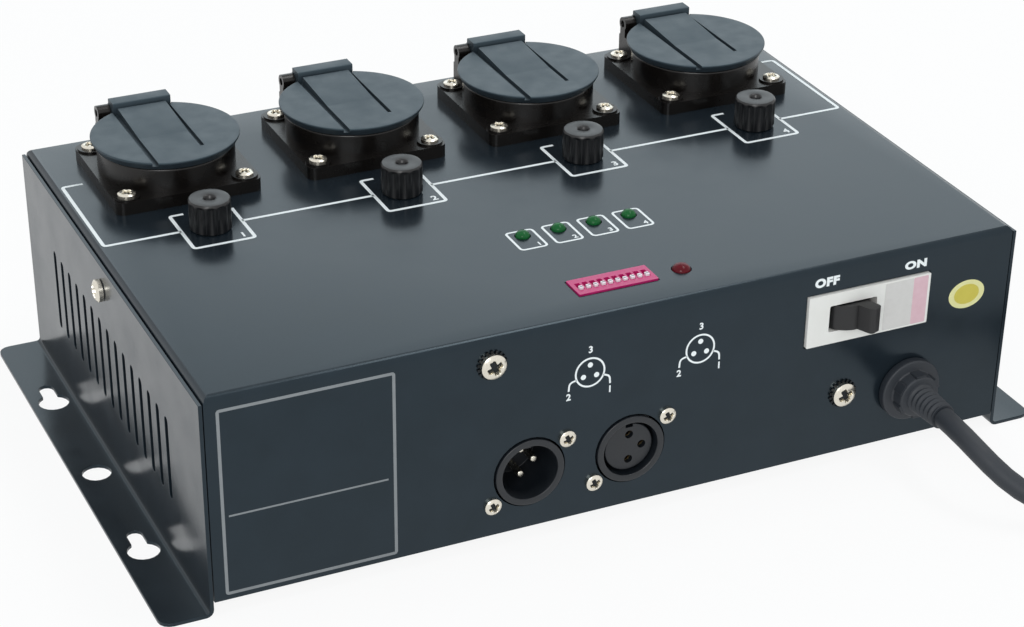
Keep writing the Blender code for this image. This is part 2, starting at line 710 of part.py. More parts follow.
def make_transformer():
    """The transformer on the bottom plate: its foot, its core and its winding."""
    def block(size, low):
        return box((-size[0] / 2, -size[1] / 2, low), (size[0] / 2, size[1] / 2, low + size[2]))
    sunk = FOOT_SIZE[2] / 2
    core = block(CORE_SIZE, sunk)
    winding = block(WINDING_SIZE, sunk + (CORE_SIZE[2] - WINDING_SIZE[2]) / 2)
    shape = combined(block(FOOT_SIZE, 0.0), ("UNION", core), ("UNION", winding))
    piece("transformer", shape, "bright_steel",
          (TRANSFORMER_INSET - BODY_W / 2, TRANSFORMER_Y, TRAY_TOP_Z + GAP))


def make_breaker():
    """The breaker: a nose through the front panel, its wider body behind, and its lever."""
    front = FRONT_Y - BREAKER_PROUD
    shoulder = front + BREAKER_NOSE
    back = front + BREAKER_BODY_D
    nose, wide = BREAKER_FACE_W / 2, BREAKER_BODY_W / 2
    outline = [(BREAKER_X - nose, front), (BREAKER_X + nose, front), (BREAKER_X + nose, shoulder),
               (BREAKER_X + wide, shoulder), (BREAKER_X + wide, back), (BREAKER_X - wide, back),
               (BREAKER_X - wide, shoulder), (BREAKER_X - nose, shoulder)]
    body = prism(outline, BREAKER_Z - BREAKER_FACE_H / 2, BREAKER_Z + BREAKER_FACE_H / 2)
    axis_y = front + LEVER_AXIS_DEPTH
    reach = LEVER_HUB_R + LEVER_PLAY
    slot = box((LEVER_X - reach, front - SHEET, BREAKER_Z - LEVER_SLOT_H / 2),
               (LEVER_X + reach, axis_y + reach, BREAKER_Z + LEVER_SLOT_H / 2))
    piece("breaker_body", combined(body, ("DIFFERENCE", slot)), "white_plastic")
    half = LEVER_SLOT_H / 2 - LEVER_PLAY
    hub = rod(LEVER_HUB_R, -half, half, ROUND)
    handle = box((-LEVER_T / 2, -LEVER_LEN, -half), (LEVER_T / 2, 0, half))
    bmesh.ops.bevel(handle, geom=[e for e in handle.edges if abs(e.verts[0].co.y + LEVER_LEN) < 1e-6
                                  and abs(e.verts[1].co.y + LEVER_LEN) < 1e-6],
                    offset=SHEET / 2, segments=2, profile=0.5, affect="EDGES")
    piece("breaker_lever", combined(hub, ("UNION", handle)), "black_plastic",
          (LEVER_X, axis_y, BREAKER_Z), turn=LEVER_HALF_SWING)


def connector_shell():
    """The nose, the clamping plate behind the panel and the rear body that both connectors share."""
    seat = SHEET + GAP
    plate_back = -seat - XLR_PLATE_T
    nose = rod(XLR_NOSE_R, -seat - XLR_PLATE_T / 2, XLR_PROUD, ROUND)
    plate = prism(rounded_rectangle(XLR_PLATE[0], XLR_PLATE[1], SOCKET_FLANGE_R, 2), plate_back,
                  -seat)
    rear = prism(rounded_rectangle(XLR_BODY[0], XLR_BODY[1], SOCKET_FLANGE_R, 2),
                 plate_back - XLR_BODY_D, plate_back + XLR_PLATE_T / 2)
    return combined(nose, ("UNION", plate), ("UNION", rear))


def contact_places():
    """The three contacts of a data connector, turned a quarter, seen from the front."""
    angles = [math.radians(a) for a in (0, 90, 270)]
    return [(XLR_PIN_CIRCLE * math.cos(a), XLR_PIN_CIRCLE * math.sin(a)) for a in angles]


def make_connectors():
    """The male data input and the female data output."""
    cup = rod(XLR_CUP_R, XLR_PROUD - XLR_CUP_DEPTH, XLR_PROUD + SHEET, ROUND)
    pins = bmesh.new()
    floor = XLR_PROUD - XLR_CUP_DEPTH
    for x, z in contact_places():
        prism(circle(XLR_PIN_R, TINY_ROUND, (x, z)), floor - SHEET, floor + XLR_PIN_LEN, solid=pins)
    male = combined(connector_shell(), ("DIFFERENCE", cup), ("UNION", pins))
    face = XLR_PROUD - XLR_INSERT_BACK
    groove = turned([(0, face), (XLR_INSERT_R, face), (XLR_INSERT_R, floor), (XLR_CUP_R, floor),
                     (XLR_CUP_R, XLR_PROUD + SHEET), (0, XLR_PROUD + SHEET)], ROUND)
    contacts = bmesh.new()
    for x, z in contact_places():
        prism(circle(XLR_CONTACT_R, TINY_ROUND, (x, z)), face - XLR_CONTACT_DEPTH, face + SHEET,
              solid=contacts)
    female = combined(connector_shell(), ("DIFFERENCE", groove), ("DIFFERENCE", contacts))
    for name, shape, x in (("data_in_male", male, XLR_IN_X), ("data_out_female", female, XLR_OUT_X)):
        shape.transform(TOWARDS_FRONT)
        piece(name, shape, "black_plastic", (x, FRONT_Y, XLR_Z))


def make_strain_relief():
    """The snap-in strain relief of the mains cord, its barbs behind the panel."""
    seat = -SHEET - GAP
    neck = GLAND_HOLE_R - GAP
    profile = [(0, seat - GLAND_BARB_LEN), (neck - SHEET, seat - GLAND_BARB_LEN),
               (GLAND_BARB_R, seat - SHEET), (GLAND_BARB_R, seat), (neck, seat), (neck, GAP),
               (GLAND_RIM_R, GAP), (GLAND_RIM_R, GLAND_RIM_T), (GLAND_COLLAR_R, GLAND_RIM_T),
               (GLAND_COLLAR_R, GLAND_COLLAR_END), (GLAND_BOOT_R, GLAND_COLLAR_END),
               (GLAND_TIP_R, GLAND_LEN), (0, GLAND_LEN)]
    piece("strain_relief", turned(profile, ROUND // 2 + ROUND // 4, TOWARDS_FRONT), "black_plastic",
          (GLAND_X, FRONT_Y, GLAND_Z))


def smooth_route(points, spacing):
    """Points at an even spacing along a natural cubic curve through the given ones."""
    given = np.array(points, dtype=float)
    steps = np.linalg.norm(np.diff(given, axis=0), axis=1)
    along = np.concatenate([[0.0], np.cumsum(steps)])
    count = len(given)
    system = np.eye(count)
    right = np.zeros_like(given)
    for i in range(1, count - 1):
        before, after = along[i] - along[i - 1], along[i + 1] - along[i]
        system[i, i - 1:i + 2] = before, 2 * (before + after), after
        right[i] = 6 * ((given[i + 1] - given[i]) / after - (given[i] - given[i - 1]) / before)
    bend = np.linalg.solve(system, right)
    wanted = np.linspace(0.0, along[-1], max(2, round(along[-1] / spacing)) + 1)
    route = []
    for s in wanted:
        i = min(np.searchsorted(along, s, side="right") - 1, count - 2)
        span = along[i + 1] - along[i]
        a, b = (along[i + 1] - s) / span, (s - along[i]) / span
        pull = ((a ** 3 - a) * bend[i] + (b ** 3 - b) * bend[i + 1]) * span ** 2 / 6
        route.append(tuple(a * given[i] + b * given[i + 1] + pull))
    return route


def tube(name, points, resolution):
    """A cord along points, as a curve with a round section and filled ends."""
    curve = bpy.data.curves.new(name, "CURVE")
    curve.dimensions = "3D"
    curve.bevel_depth = CORD_R
    curve.bevel_resolution = resolution
    curve.use_fill_caps = True
    spline = curve.splines.new("POLY")
    spline.points.add(len(points) - 1)
    for point, place in zip(spline.points, points):
        point.co = (*place, 1.0)
    curve.materials.append(finish("cord_black"))
    item = bpy.data.objects.new(name, curve)
    bpy.context.scene.collection.objects.link(item)
    return item


def coil_centre():
    """The middle of the coil: the lead meets its front from the left."""
    return COIL_X, LEAD_END_Y + COIL_OUTER_R


def coil_points():
    """The coil: in along the floor, up a layer in a half turn, out on top, then up to the plug."""
    centre_x, centre_y = coil_centre()
    layer_turns = COIL_LAYER_TURNS
    total = 2 * layer_turns + 0.5
    points = [(centre_x - 2 * CORD_R, LEAD_END_Y, CORD_LOW_Z)]
    count = round(total * COIL_POINTS)
    for i in range(count + 1):
        turn = total * i / count
        inwards = min(turn, total - turn)
        radius = COIL_OUTER_R - COIL_TURN_STEP * inwards
        climb = min(max((turn - layer_turns) / 0.5, 0.0), 1.0)
        height = CORD_LOW_Z + COIL_LAYER_STEP * climb * climb * (3 - 2 * climb)
        angle = 2 * math.pi * (turn - 0.25)
        points.append((centre_x + radius * math.cos(angle), centre_y + radius * math.sin(angle),
                       height))
    x, y, low = points[-1]
    rises = round(PLUG_RISE_RUN / (2 * CORD_R))
    for i in range(1, rises + 1):
        part = min(1.0, i / (rises - 1))
        height = low + (plug_height() - low) * part * part * (3 - 2 * part)
        points.append((x, y + PLUG_RISE_RUN * i / rises, height))
    return points


def plug_height():
    """The height of the plug's axis, lying on its side."""
    return PLUG_R + GAP


def length_of(points):
    """The length of a line of points."""
    return sum((Vector(b) - Vector(a)).length for a, b in zip(points, points[1:]))


def least_gap(points):
    """The least free gap between stretches of a cord that are more than a quarter turn apart."""
    route = np.array(points)
    apart = COIL_POINTS // 4
    least = 1.0
    for i in range(len(route) - 1):
        ends = route[i + apart:-1], route[i + apart + 1:]
        if not len(ends[0]):
            break
        for part in np.linspace(0.0, 1.0, 5):
            place = route[i] + (route[i + 1] - route[i]) * part
            run = ends[1] - ends[0]
            share = np.clip(((place - ends[0]) * run).sum(1) / (run * run).sum(1), 0, 1)
            nearest = ends[0] + run * share[:, None]
            least = min(least, float(np.linalg.norm(nearest - place, axis=1).min()))
    return least - 2 * CORD_R


def make_mains_cord():
    """The lead from the strain relief to the coil, the coil with its tail, and the plug."""
    start_y = FRONT_Y - GLAND_LEN - GAP
    coil = coil_points()
    lead = smooth_route([(GLAND_X, start_y, GLAND_Z)] + LEAD_ROUTE
                        + [(COIL_X - 6 * CORD_R, LEAD_END_Y, CORD_LOW_Z),
                           (COIL_X - 2 * CORD_R - GAP, LEAD_END_Y, CORD_LOW_Z)], CORD_POINT_STEP)
    tube("mains_cord", lead, 2)
    tube("mains_cord_coil", coil, 1)
    print("cord length", round(length_of(lead) + length_of(coil), 4), "m of", CORD_TOTAL)
    print("coil least gap", round(least_gap(coil) * 1000, 3), "mm")
    x, y, z = coil[-1]
    body = turned([(0, GAP), (PLUG_TAIL_R, GAP), (PLUG_TAIL_R + SHEET, PLUG_LEN - PLUG_BODY_LEN),
                   (PLUG_R - SHEET, PLUG_LEN - PLUG_BODY_LEN + 2 * SHEET),
                   (PLUG_R, PLUG_LEN - PLUG_BODY_LEN + 8 * SHEET), (PLUG_R, PLUG_LEN),
                   (0, PLUG_LEN)], ROUND // 2 + ROUND // 4)
    pins = bmesh.new()
    for side in (-1, 1):
        prism(circle(PLUG_PIN_R, TINY_ROUND, (side * PLUG_PIN_PITCH / 2, 0)), PLUG_LEN - SHEET,
              PLUG_LEN + PLUG_PIN_LEN, solid=pins)
    plug = combined(body, ("UNION", pins))
    plug.transform(TOWARDS_FRONT.inverted())
    piece("mains_plug", plug, "cord_black", (x, y, z))


def make_end_screws():
    """The pan-head screw that holds each end plate to the shell's lip."""
    for name, side in (("end_screw_left", -1), ("end_screw_right", 1)):
        wall = BODY_W / 2
        head = turned([(0, GAP), (END_SCREW_R, GAP), (END_SCREW_R, GAP + END_SCREW_HEAD / 2),
                       (END_SCREW_R * 0.7, GAP + END_SCREW_HEAD), (0, GAP + END_SCREW_HEAD)],
                      SMALL_ROUND)
        bmesh.ops.transform(head, verts=head.verts, matrix=Matrix.Rotation(
            math.radians(90 * side), 4, "Y"))
        piece(name, head, "bright_steel", (side * wall, END_SCREW_Y, END_SCREW_Z))


def main():
    for item in list(bpy.data.objects):
        bpy.data.objects.remove(item)
    make_top_shell()
    make_end_plate("end_plate_left", -1)
    make_end_plate("end_plate_right", 1)
    make_bottom_plate()
    make_end_screws()
    make_sockets()
    make_fuses()
    make_indicators()
    make_address_switch()
    make_control_board()
    make_transformer()
    make_breaker()
    make_connectors()
    make_strain_relief()
    make_mains_cord()
    pack = frame("switch_pack", (0, BOX_SHIFT, 0))
    for item in bpy.data.objects:
        if item.parent is None and item is not pack:
            item.parent = pack


main()
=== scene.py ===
# %% [markdown]
# # A four channel lighting switch pack
#
# The real pack is a folded steel box with four lidded mains sockets and their fuses on top, and a
# breaker, two data connectors and a mains cord in front. Its construction comes in as a packed
# model, and this script gives it its looks. A scene could also be dressed by hand. A script is
# chosen because each size is written once and the same scene comes back each time.

import json
import math

import bmesh
import bpy
import numpy as np
from mathutils import Matrix, Vector
from mathutils.geometry import tessellate_polygon


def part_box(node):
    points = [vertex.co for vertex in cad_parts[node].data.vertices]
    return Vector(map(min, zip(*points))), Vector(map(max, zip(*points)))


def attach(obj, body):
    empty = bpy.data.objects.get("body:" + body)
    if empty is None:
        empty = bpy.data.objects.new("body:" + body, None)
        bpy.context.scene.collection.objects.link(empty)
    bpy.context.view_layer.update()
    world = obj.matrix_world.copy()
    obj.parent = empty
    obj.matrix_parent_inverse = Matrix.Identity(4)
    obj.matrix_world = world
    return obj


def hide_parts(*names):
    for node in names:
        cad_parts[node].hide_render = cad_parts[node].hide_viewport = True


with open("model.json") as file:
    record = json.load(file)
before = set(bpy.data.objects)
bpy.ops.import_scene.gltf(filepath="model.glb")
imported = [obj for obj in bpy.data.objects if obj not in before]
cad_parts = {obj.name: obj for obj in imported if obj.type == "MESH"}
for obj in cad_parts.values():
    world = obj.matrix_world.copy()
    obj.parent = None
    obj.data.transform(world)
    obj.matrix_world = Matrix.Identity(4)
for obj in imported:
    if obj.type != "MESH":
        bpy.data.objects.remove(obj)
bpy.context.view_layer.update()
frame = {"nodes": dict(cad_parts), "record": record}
nodes = frame["nodes"]
print("pieces in the packed model:", len(nodes))

# %% [markdown]
# ## The camera
#
# The photographer stood to the left of the front and looked down on the pack with a long lens. A
# camera could be aimed with a constraint. Its three axes are written out instead, because they were
# fitted to the edges of the box, and the small shift keeps the photograph's crop.

# %% Camera
CAMERA_PLACE = (-0.3248, -0.6946, 0.4433)
CAMERA_RIGHT = (0.9108, -0.4127, 0.0058)
CAMERA_UP = (0.2099, 0.4752, 0.8545)
LENS_MM = 89.85
CROP_SHIFT = (0.02034, 0.12913)

right, up = Vector(CAMERA_RIGHT).normalized(), Vector(CAMERA_UP).normalized()
back = right.cross(up)
lens = bpy.data.cameras.new("camera")
lens.lens = LENS_MM
lens.shift_x, lens.shift_y = CROP_SHIFT
camera = bpy.data.objects.new("camera", lens)
camera.matrix_world = Matrix.Translation(CAMERA_PLACE) @ Matrix((right, up, back)).transposed().to_4x4()
bpy.context.scene.collection.objects.link(camera)
bpy.context.scene.camera = camera
print("camera stands", round(Vector(CAMERA_PLACE).length, 2), "m away")

# %% [markdown]
# ## Colours and nodes
#
# A colour read from a photograph is an sRGB code, and a shader wants linear light. One function turns
# the first into the second, and one adds a node of any kind with its settings and its links.

# %% Colour and node helpers
def srgb(code):
    """An sRGB hex colour in linear light: a share s becomes ((s + 0.055) / 1.055) to the power 2.4."""
    shares = [int(code[i:i + 2], 16) / 255 for i in (1, 3, 5)]
    return (*[s / 12.92 if s <= 0.04045 else ((s + 0.055) / 1.055) ** 2.4 for s in shares], 1.0)


def add(tree, kind, settings=None, links=None):
    """One node of a kind. Settings are its own values or its sockets', links are (node, output)."""
    node = tree.nodes.new("ShaderNode" + kind)
    for key, value in (settings or {}).items():
        if isinstance(key, str) and key in node.bl_rna.properties:
            setattr(node, key, value)
        else:
            node.inputs[key].default_value = value
    for key, (source, output) in (links or {}).items():
        tree.links.new(source.outputs[output], node.inputs[key])
    return node


def per_mm(size):
    """The scale that gives a noise pattern features of a size in millimetres."""
    return 1000.0 / size


def blank(name):
    """A new material's node tree, empty."""
    material = bpy.data.materials.new(name)
    material.use_nodes = True
    material.node_tree.nodes.clear()
    return material, material.node_tree


print("black paint in linear light:", [round(c, 4) for c in srgb("#1b2024")[:3]])

# %% [markdown]
# ## One recipe for paint and plastic
#
# Powder coat, moulded plastic and rubber differ in numbers rather than in kind: a tone that drifts a
# little over the part, a roughness that drifts with it, and a fine grain left by the mould or by the
# paint as it cured. They could each have a tree of their own. One recipe is chosen, and each material
# gives it the tones, the size of the grain in millimetres and the gloss of the real thing.

# %% The recipe
def surfaced(tree, tones, gloss, drift, fine, height, sockets):
    """A shader: tone and roughness follow the drift noise from one of their two values to the other,
    and the fine noise is a relief of some height in mm."""
    tone = add(tree, "Mix", {"data_type": "RGBA", 6: srgb(tones[0]), 7: srgb(tones[1])}, {0: (drift, 0)})
    rough = add(tree, "MapRange", {"From Min": 0.3, "From Max": 0.7, "To Min": gloss[0],
                                   "To Max": gloss[1]}, {"Value": (drift, 0)})
    relief = add(tree, "Bump", {"Strength": 1.0, "Distance": height / 1000}, {"Height": (fine, 0)})
    shader = add(tree, "BsdfPrincipled", sockets,
                 {"Base Color": (tone, 2), "Roughness": (rough, 0), "Normal": (relief, 0)})
    add(tree, "OutputMaterial", None, {"Surface": (shader, 0)})


def grained(name, tones, patch, grain, height, gloss, sockets=None):
    """Tones are two hex colours, patch and grain are pattern sizes and height the relief, in mm, and
    gloss is the least and the most roughness."""
    material, tree = blank(name)
    place = add(tree, "TexCoord")
    drift = add(tree, "TexNoise", {"Scale": per_mm(patch), "Detail": 4.0}, {"Vector": (place, "Object")})
    fine = add(tree, "TexNoise", {"Scale": per_mm(grain), "Detail": 2.0}, {"Vector": (place, "Object")})
    surfaced(tree, tones, gloss, drift, fine, height, sockets)
    return material


# Satin powder coat: sprayed polyester, cured to a slight orange peel that softens what it mirrors
# Its slate specular tint is painted sheen: it colours everything the coat mirrors
powder_coat = grained("satin_powder_coat", ("#151b20", "#1e262d"), 14.0, 0.9, 0.008, (0.17, 0.25),
                      {"Specular IOR Level": 0.42, "Specular Tint": srgb("#c6deec")})
# Glossy moulded polyamide of the sockets: warm black, with the shine of a polished mould
socket_nylon = grained("gloss_moulded_nylon", ("#0e0c0b", "#151210"), 9.0, 0.8, 0.006, (0.20, 0.32),
                       {"Specular IOR Level": 0.36})
# Spark-eroded polypropylene of the lids: an even matt texture, whose sheen gets a painted slate colour from
# its specular tint
lid_plastic = grained("textured_polypropylene", ("#232a2f", "#2b333a"), 6.0, 0.35, 0.020, (0.40, 0.52),
                      {"Specular IOR Level": 0.68, "Specular Tint": srgb("#c4e2f0")})
# Phenolic resin of the fuse caps: hard, black, half matt
cap_resin = grained("black_phenolic", ("#0d0d0f", "#141416"), 5.0, 0.4, 0.010, (0.30, 0.42))
# Glass-filled nylon of the connectors: dark slate, half matt
connector_nylon = grained("glass_filled_nylon", ("#0f1318", "#161b21"), 5.0, 0.4, 0.010, (0.34, 0.48))
# Flexible vinyl of the cord and its strain relief: matt, with a faint talc bloom
cord_vinyl = grained("flexible_vinyl", ("#1d2127", "#282d34"), 12.0, 0.5, 0.012, (0.50, 0.64))
# Light grey thermoplastic of the breaker's face
breaker_plastic = grained("ivory_thermoplastic", ("#e6e2dc", "#efece7"), 8.0, 0.5, 0.006, (0.34, 0.46))
# Acetal of the slide levers: waxy white
acetal = grained("white_acetal", ("#f2e9ee", "#fbf5f8"), 3.0, 0.3, 0.004, (0.26, 0.36))
# Polyester of the address switch: deep pink-red
switch_red = grained("red_polyester", ("#b41560", "#cc2874"), 3.0, 0.3, 0.006, (0.28, 0.40))
# Screen printing ink: an opaque white film a few hundredths of a millimetre thick
print_ink = grained("white_screen_ink", ("#eef1f1", "#f8fafa"), 4.0, 0.25, 0.004, (0.45, 0.60))
# The same ink thinned over black: the grey of the empty table's frame
grey_ink = grained("grey_screen_ink", ("#777a7d", "#8b8e90"), 4.0, 0.25, 0.004, (0.45, 0.60))
print("paints and plastics:", len(bpy.data.materials))

# %% [markdown]
# ## Metal, lenses and paper
#
# Plated screws owe their look to fine tool marks that smear the highlight, so their roughness follows
# a stretched noise. An epoxy lens is clear and tinted, so it takes a hard clear coat over a deep
# colour. A tinted glass shader would need a lit chip inside it, and the lamps are off here.

# %% Metals and lenses
def plated(name, tones, gloss, mark):
    """Bright plating over turned steel, with marks of some width in mm drawn out along Z."""
    material, tree = blank(name)
    place = add(tree, "TexCoord")
    drawn = add(tree, "Mapping", {"Scale": (1.0, 1.0, 0.15)}, {"Vector": (place, "Object")})
    marks = add(tree, "TexNoise", {"Scale": per_mm(mark), "Detail": 5.0}, {"Vector": (drawn, 0)})
    surfaced(tree, tones, gloss, marks, marks, 0.004, {"Metallic": 1.0})
    return material


def lens_epoxy(name, tones, patch):
    """Tinted epoxy: a deep mottled colour under a hard clear coat."""
    return grained(name, tones, patch, 1.2, 0.003, (0.12, 0.22),
                   {"Specular IOR Level": 0.1, "Coat Weight": 0.1, "Coat Roughness": 0.05,
                    "Subsurface Weight": 0.1, "Subsurface Radius": (0.001, 0.001, 0.001)})


# Nickel plated steel: warm white metal
nickel = plated("nickel_plated_steel", ("#c9c3b4", "#ece8dd"), (0.16, 0.34), 0.25)
# Zinc plated steel of the hinge pins and the transformer's frame: cooler and duller
zinc = plated("zinc_plated_steel", ("#9aa0a4", "#c4c9cb"), (0.28, 0.46), 0.4)
# Dark steel of the toothed washers, and of the discs of painted shade in the screw recesses
dark_steel_and_shade = plated("dark_steel_and_painted_recess_shade", ("#1c1e20", "#3c3f42"), (0.30, 0.48), 0.3)
# Tinned brass of the contacts
brass = plated("tinned_brass", ("#b59a62", "#d9c492"), (0.20, 0.36), 0.3)
# Epoxy of the indicators, unlit
green_epoxy = lens_epoxy("green_epoxy", ("#0f4a22", "#1f6f38"), 2.0)
red_epoxy = lens_epoxy("red_epoxy", ("#4a0812", "#741424"), 2.0)
# Solder mask over woven glass and epoxy, and the polyester of the relays
board_mask = grained("green_solder_mask", ("#0f5a35", "#177044"), 5.0, 0.5, 0.010, (0.30, 0.42))
relay_blue = grained("blue_polyester", ("#1d3f86", "#27509f"), 4.0, 0.4, 0.006, (0.30, 0.42))
# Coated paper of the oval label, slightly glossy: pale at its rim and deeper inside
label_paper = grained("yellow_coated_paper", ("#c9b842", "#d6c858"), 4.0, 0.3, 0.004, (0.30, 0.42))
pale_paper = grained("pale_yellow_paper", ("#e2dc98", "#ece7ac"), 4.0, 0.3, 0.004, (0.30, 0.42))
# Uncoated paper of the breaker's label, grey, with a pink band at its end
grey_paper = grained("grey_label_paper", ("#cfcac6", "#dcd8d4"), 2.0, 0.3, 0.004, (0.50, 0.65))
pink_paper = grained("pink_label_paper", ("#d8adb6", "#e3c2c9"), 2.0, 0.3, 0.004, (0.50, 0.65))
# Soda lime glass of the fuse links: clear, with a little haze
glass, tree = blank("soda_lime_glass")
clouding = add(tree, "TexNoise", {"Scale": per_mm(1.5)}, {"Vector": (add(tree, "TexCoord"), "Object")})
haze = add(tree, "MapRange", {"To Min": 0.02, "To Max": 0.09}, {"Value": (clouding, 0)})
clear = add(tree, "BsdfPrincipled", {"Base Color": srgb("#eef6f4"), "IOR": 1.52,
                                     "Transmission Weight": 1.0}, {"Roughness": (haze, 0)})
add(tree, "OutputMaterial", None, {"Surface": (clear, 0)})

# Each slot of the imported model, with the finishes that fill it
SLOTS = {"black_steel": [powder_coat], "black_plastic": [socket_nylon, cap_resin, connector_nylon],
         "lid_plastic": [lid_plastic], "cord_black": [cord_vinyl], "switch_red": [switch_red],
         "white_plastic": [breaker_plastic, acetal], "bright_steel": [nickel, zinc, dark_steel_and_shade, brass],
         "green_lens": [green_epoxy], "red_lens": [red_epoxy], "glass": [glass]}
slot_of = {material.name: slot for slot, group in SLOTS.items() for material in group}
print("materials:", len(bpy.data.materials), "for", len(SLOTS), "slots of the packed model")

# %% [markdown]
# ## Shapes from numpy
#
# Nearly every part of the pack is turned, pulled or punched. Each of these is a rule for placing
# points: rings of points joined row by row, or an outline with holes between two levels. Blender's
# primitives could be edited into them, and arrays are chosen because the rule stays in sight.

# %% Surfaces of rings
def skin(rings, wrap=False):
    """A surface over rings of points: quads join each ring to the next one. The end rings are
    filled, or with wrap the last ring is joined to the first."""
    rings = np.asarray(rings, float)
    index = np.arange(rings.shape[0] * rings.shape[1]).reshape(rings.shape[:2])
    lower = index if wrap else index[:-1]
    upper = np.roll(index, -1, 0) if wrap else index[1:]
    quads = np.stack([lower, np.roll(lower, -1, 1), np.roll(upper, -1, 1), upper], -1)
    faces = quads.reshape(-1, 4).tolist()
    if not wrap:
        faces += [index[0][::-1].tolist(), index[-1].tolist()]
    return rings.reshape(-1, 3), faces


def round_angles(steps):
    """Even angles once round."""
    return np.linspace(0, 2 * np.pi, steps, endpoint=False)


def about_z(radius, height, angle):
    """Rings of points about Z: x = r cos t, y = r sin t."""
    return np.stack([radius * np.cos(angle), radius * np.sin(angle), height + 0 * angle], -1)


def turned(profile, steps=72):
    """(radius, height) points turned about Z."""
    radius, height = np.asarray(profile, float).T[:, :, None]
    return skin(about_z(radius, height, round_angles(steps)))


def tube(inner, outer, low, high, steps=32):
    """A pipe about Z: the four corners of its wall turned about Z and joined into a ring."""
    radius, height = np.array([(inner, low), (outer, low), (outer, high), (inner, high)]).T[:, :, None]
    return skin(about_z(radius, height, round_angles(steps)), wrap=True)


def rod(radius, low, high, steps=32, ease=0.0):
    """A cylinder about Z, with the edges of its ends eased if asked."""
    profile = [(0, low), (radius, low), (radius, high), (0, high)]
    return turned(eased(profile, ease) if ease else profile, steps)


def eased(corners, radius, steps=5):
    """A line with its corners rounded: near a corner c it follows (1-t)^2 a + 2t(1-t) c + t^2 b,
    where a and b lie at most radius away on either side."""
    corners = np.asarray(corners, float)
    share = np.linspace(0, 1, steps)[:, None]
    line = [corners[:1]]
    for before, corner, after in zip(corners, corners[1:], corners[2:]):
        into, out = before - corner, after - corner
        spans = np.linalg.norm(into), np.linalg.norm(out)
        reach = min(radius, spans[0] / 2, spans[1] / 2)
        a, b = corner + into / spans[0] * reach, corner + out / spans[1] * reach
        line.append((1 - share) ** 2 * a + 2 * share * (1 - share) * corner + share ** 2 * b)
    return np.concatenate(line + [corners[-1:]])


print("a turned disc has", len(turned([(0, 0), (1, 0), (1, 1), (0, 1)])[1]), "faces")

# %% Outlines, pulled and punched
def ring(radius, steps=48, centre=(0.0, 0.0)):
    """A circle: centre plus radius times (cos t, sin t)."""
    angle = round_angles(steps)
    return np.stack([centre[0] + radius * np.cos(angle), centre[1] + radius * np.sin(angle)], -1)


def slab(width, depth, radius, centre=(0.0, 0.0), steps=6):
    """A rectangle with round corners: quarter circles about the four inner corners."""
    quarter = np.linspace(0, np.pi / 2, steps)
    parts = []
    for i, (sx, sy) in enumerate([(1, 1), (-1, 1), (-1, -1), (1, -1)]):
        corner = np.array(centre) + (sx * (width / 2 - radius), sy * (depth / 2 - radius))
        angle = quarter + i * np.pi / 2
        parts.append(corner + radius * np.stack([np.cos(angle), np.sin(angle)], -1))
    return np.concatenate(parts)


def laid(flat, level, axis):
    """Flat points at a level: in XY for axis Z, in XZ for axis Y, in YZ for axis X."""
    u, v = np.asarray(flat, float).T
    depth = np.full(len(u), float(level))
    order = {"Z": (u, v, depth), "Y": (u, depth, v), "X": (depth, u, v)}[axis]
    return np.stack(order, -1)


def pulled(outline, low, high, axis="Z"):
    """An outline pulled from one level to another."""
    return skin(np.stack([laid(outline, low, axis), laid(outline, high, axis)]))


def block(low, high):
    """A box between two corners."""
    outline = [(low[0], low[1]), (high[0], low[1]), (high[0], high[1]), (low[0], high[1])]
    return pulled(outline, low[2], high[2])


def punched(outlines, low, high, axis="Z"):
    """A plate between two levels: the first outline is its rim, and the others are holes in it."""
    triangles = tessellate_polygon([[Vector((u, v, 0)) for u, v in o] for o in outlines])
    flat = np.concatenate(outlines)
    count = len(flat)
    faces = [list(t) for t in triangles] + [[i + count for i in t] for t in triangles]
    start = 0
    for outline in outlines:
        edge = start + np.arange(len(outline))
        after = np.roll(edge, -1)
        faces += np.stack([edge, after, after + count, edge + count], -1).tolist()
        start += len(outline)
    return np.concatenate([laid(flat, low, axis), laid(flat, high, axis)]), faces


def ribbon(path, width, low, high, axis="Z", closed=False):
    """A printed line: each point goes half a width to either side, along the mitre of the two
    stretches that meet there."""
    path = np.asarray(path, float)
    ahead, behind = np.roll(path, -1, 0) - path, path - np.roll(path, 1, 0)
    if not closed:
        ahead[-1], behind[0] = behind[-1], ahead[0]
    sides = [np.stack([-d[:, 1], d[:, 0]], -1) / np.linalg.norm(d, axis=1)[:, None]
             for d in (ahead, behind)]
    mitre = sides[0] + sides[1]
    mitre *= width / 2 / (mitre * sides[0]).sum(1)[:, None]
    left, far = path + mitre, path - mitre
    rows = [laid(left, low, axis), laid(far, low, axis), laid(far, high, axis), laid(left, high, axis)]
    return skin(np.stack(rows, 1), wrap=closed)


print("a fuse frame's outline has", len(slab(0.02, 0.025, 0.002)), "points")

# %% [markdown]
# ## From arrays to pieces
#
# A shape is a pair of points and faces until it becomes a Blender object. Joining, moving and turning
# are then sums on the points. A cut through a curved wall is left to the Boolean modifier, because
# its edge has no short formula. A small bevel on each edge catches the light as a moulded edge does.

# %% Joining, moving and cutting
TOWARDS_FRONT = Matrix.Rotation(math.radians(90), 4, "X")
TOWARDS_RIGHT = Matrix.Rotation(math.radians(90), 4, "Y")
TOWARDS_LEFT = Matrix.Rotation(math.radians(-90), 4, "Y")
MERGE = 1e-7
LIFT = 0.00001
SHARP_FROM, BEVEL_FROM = math.radians(35), math.radians(40)


def placed(shape, matrix):
    """A shape through a 4x4 matrix."""
    turn = np.array(matrix)
    return shape[0] @ turn[:3, :3].T + turn[:3, 3], shape[1]


def moved(shape, offset):
    """A shape shifted by an offset."""
    return shape[0] + np.asarray(offset, float), shape[1]


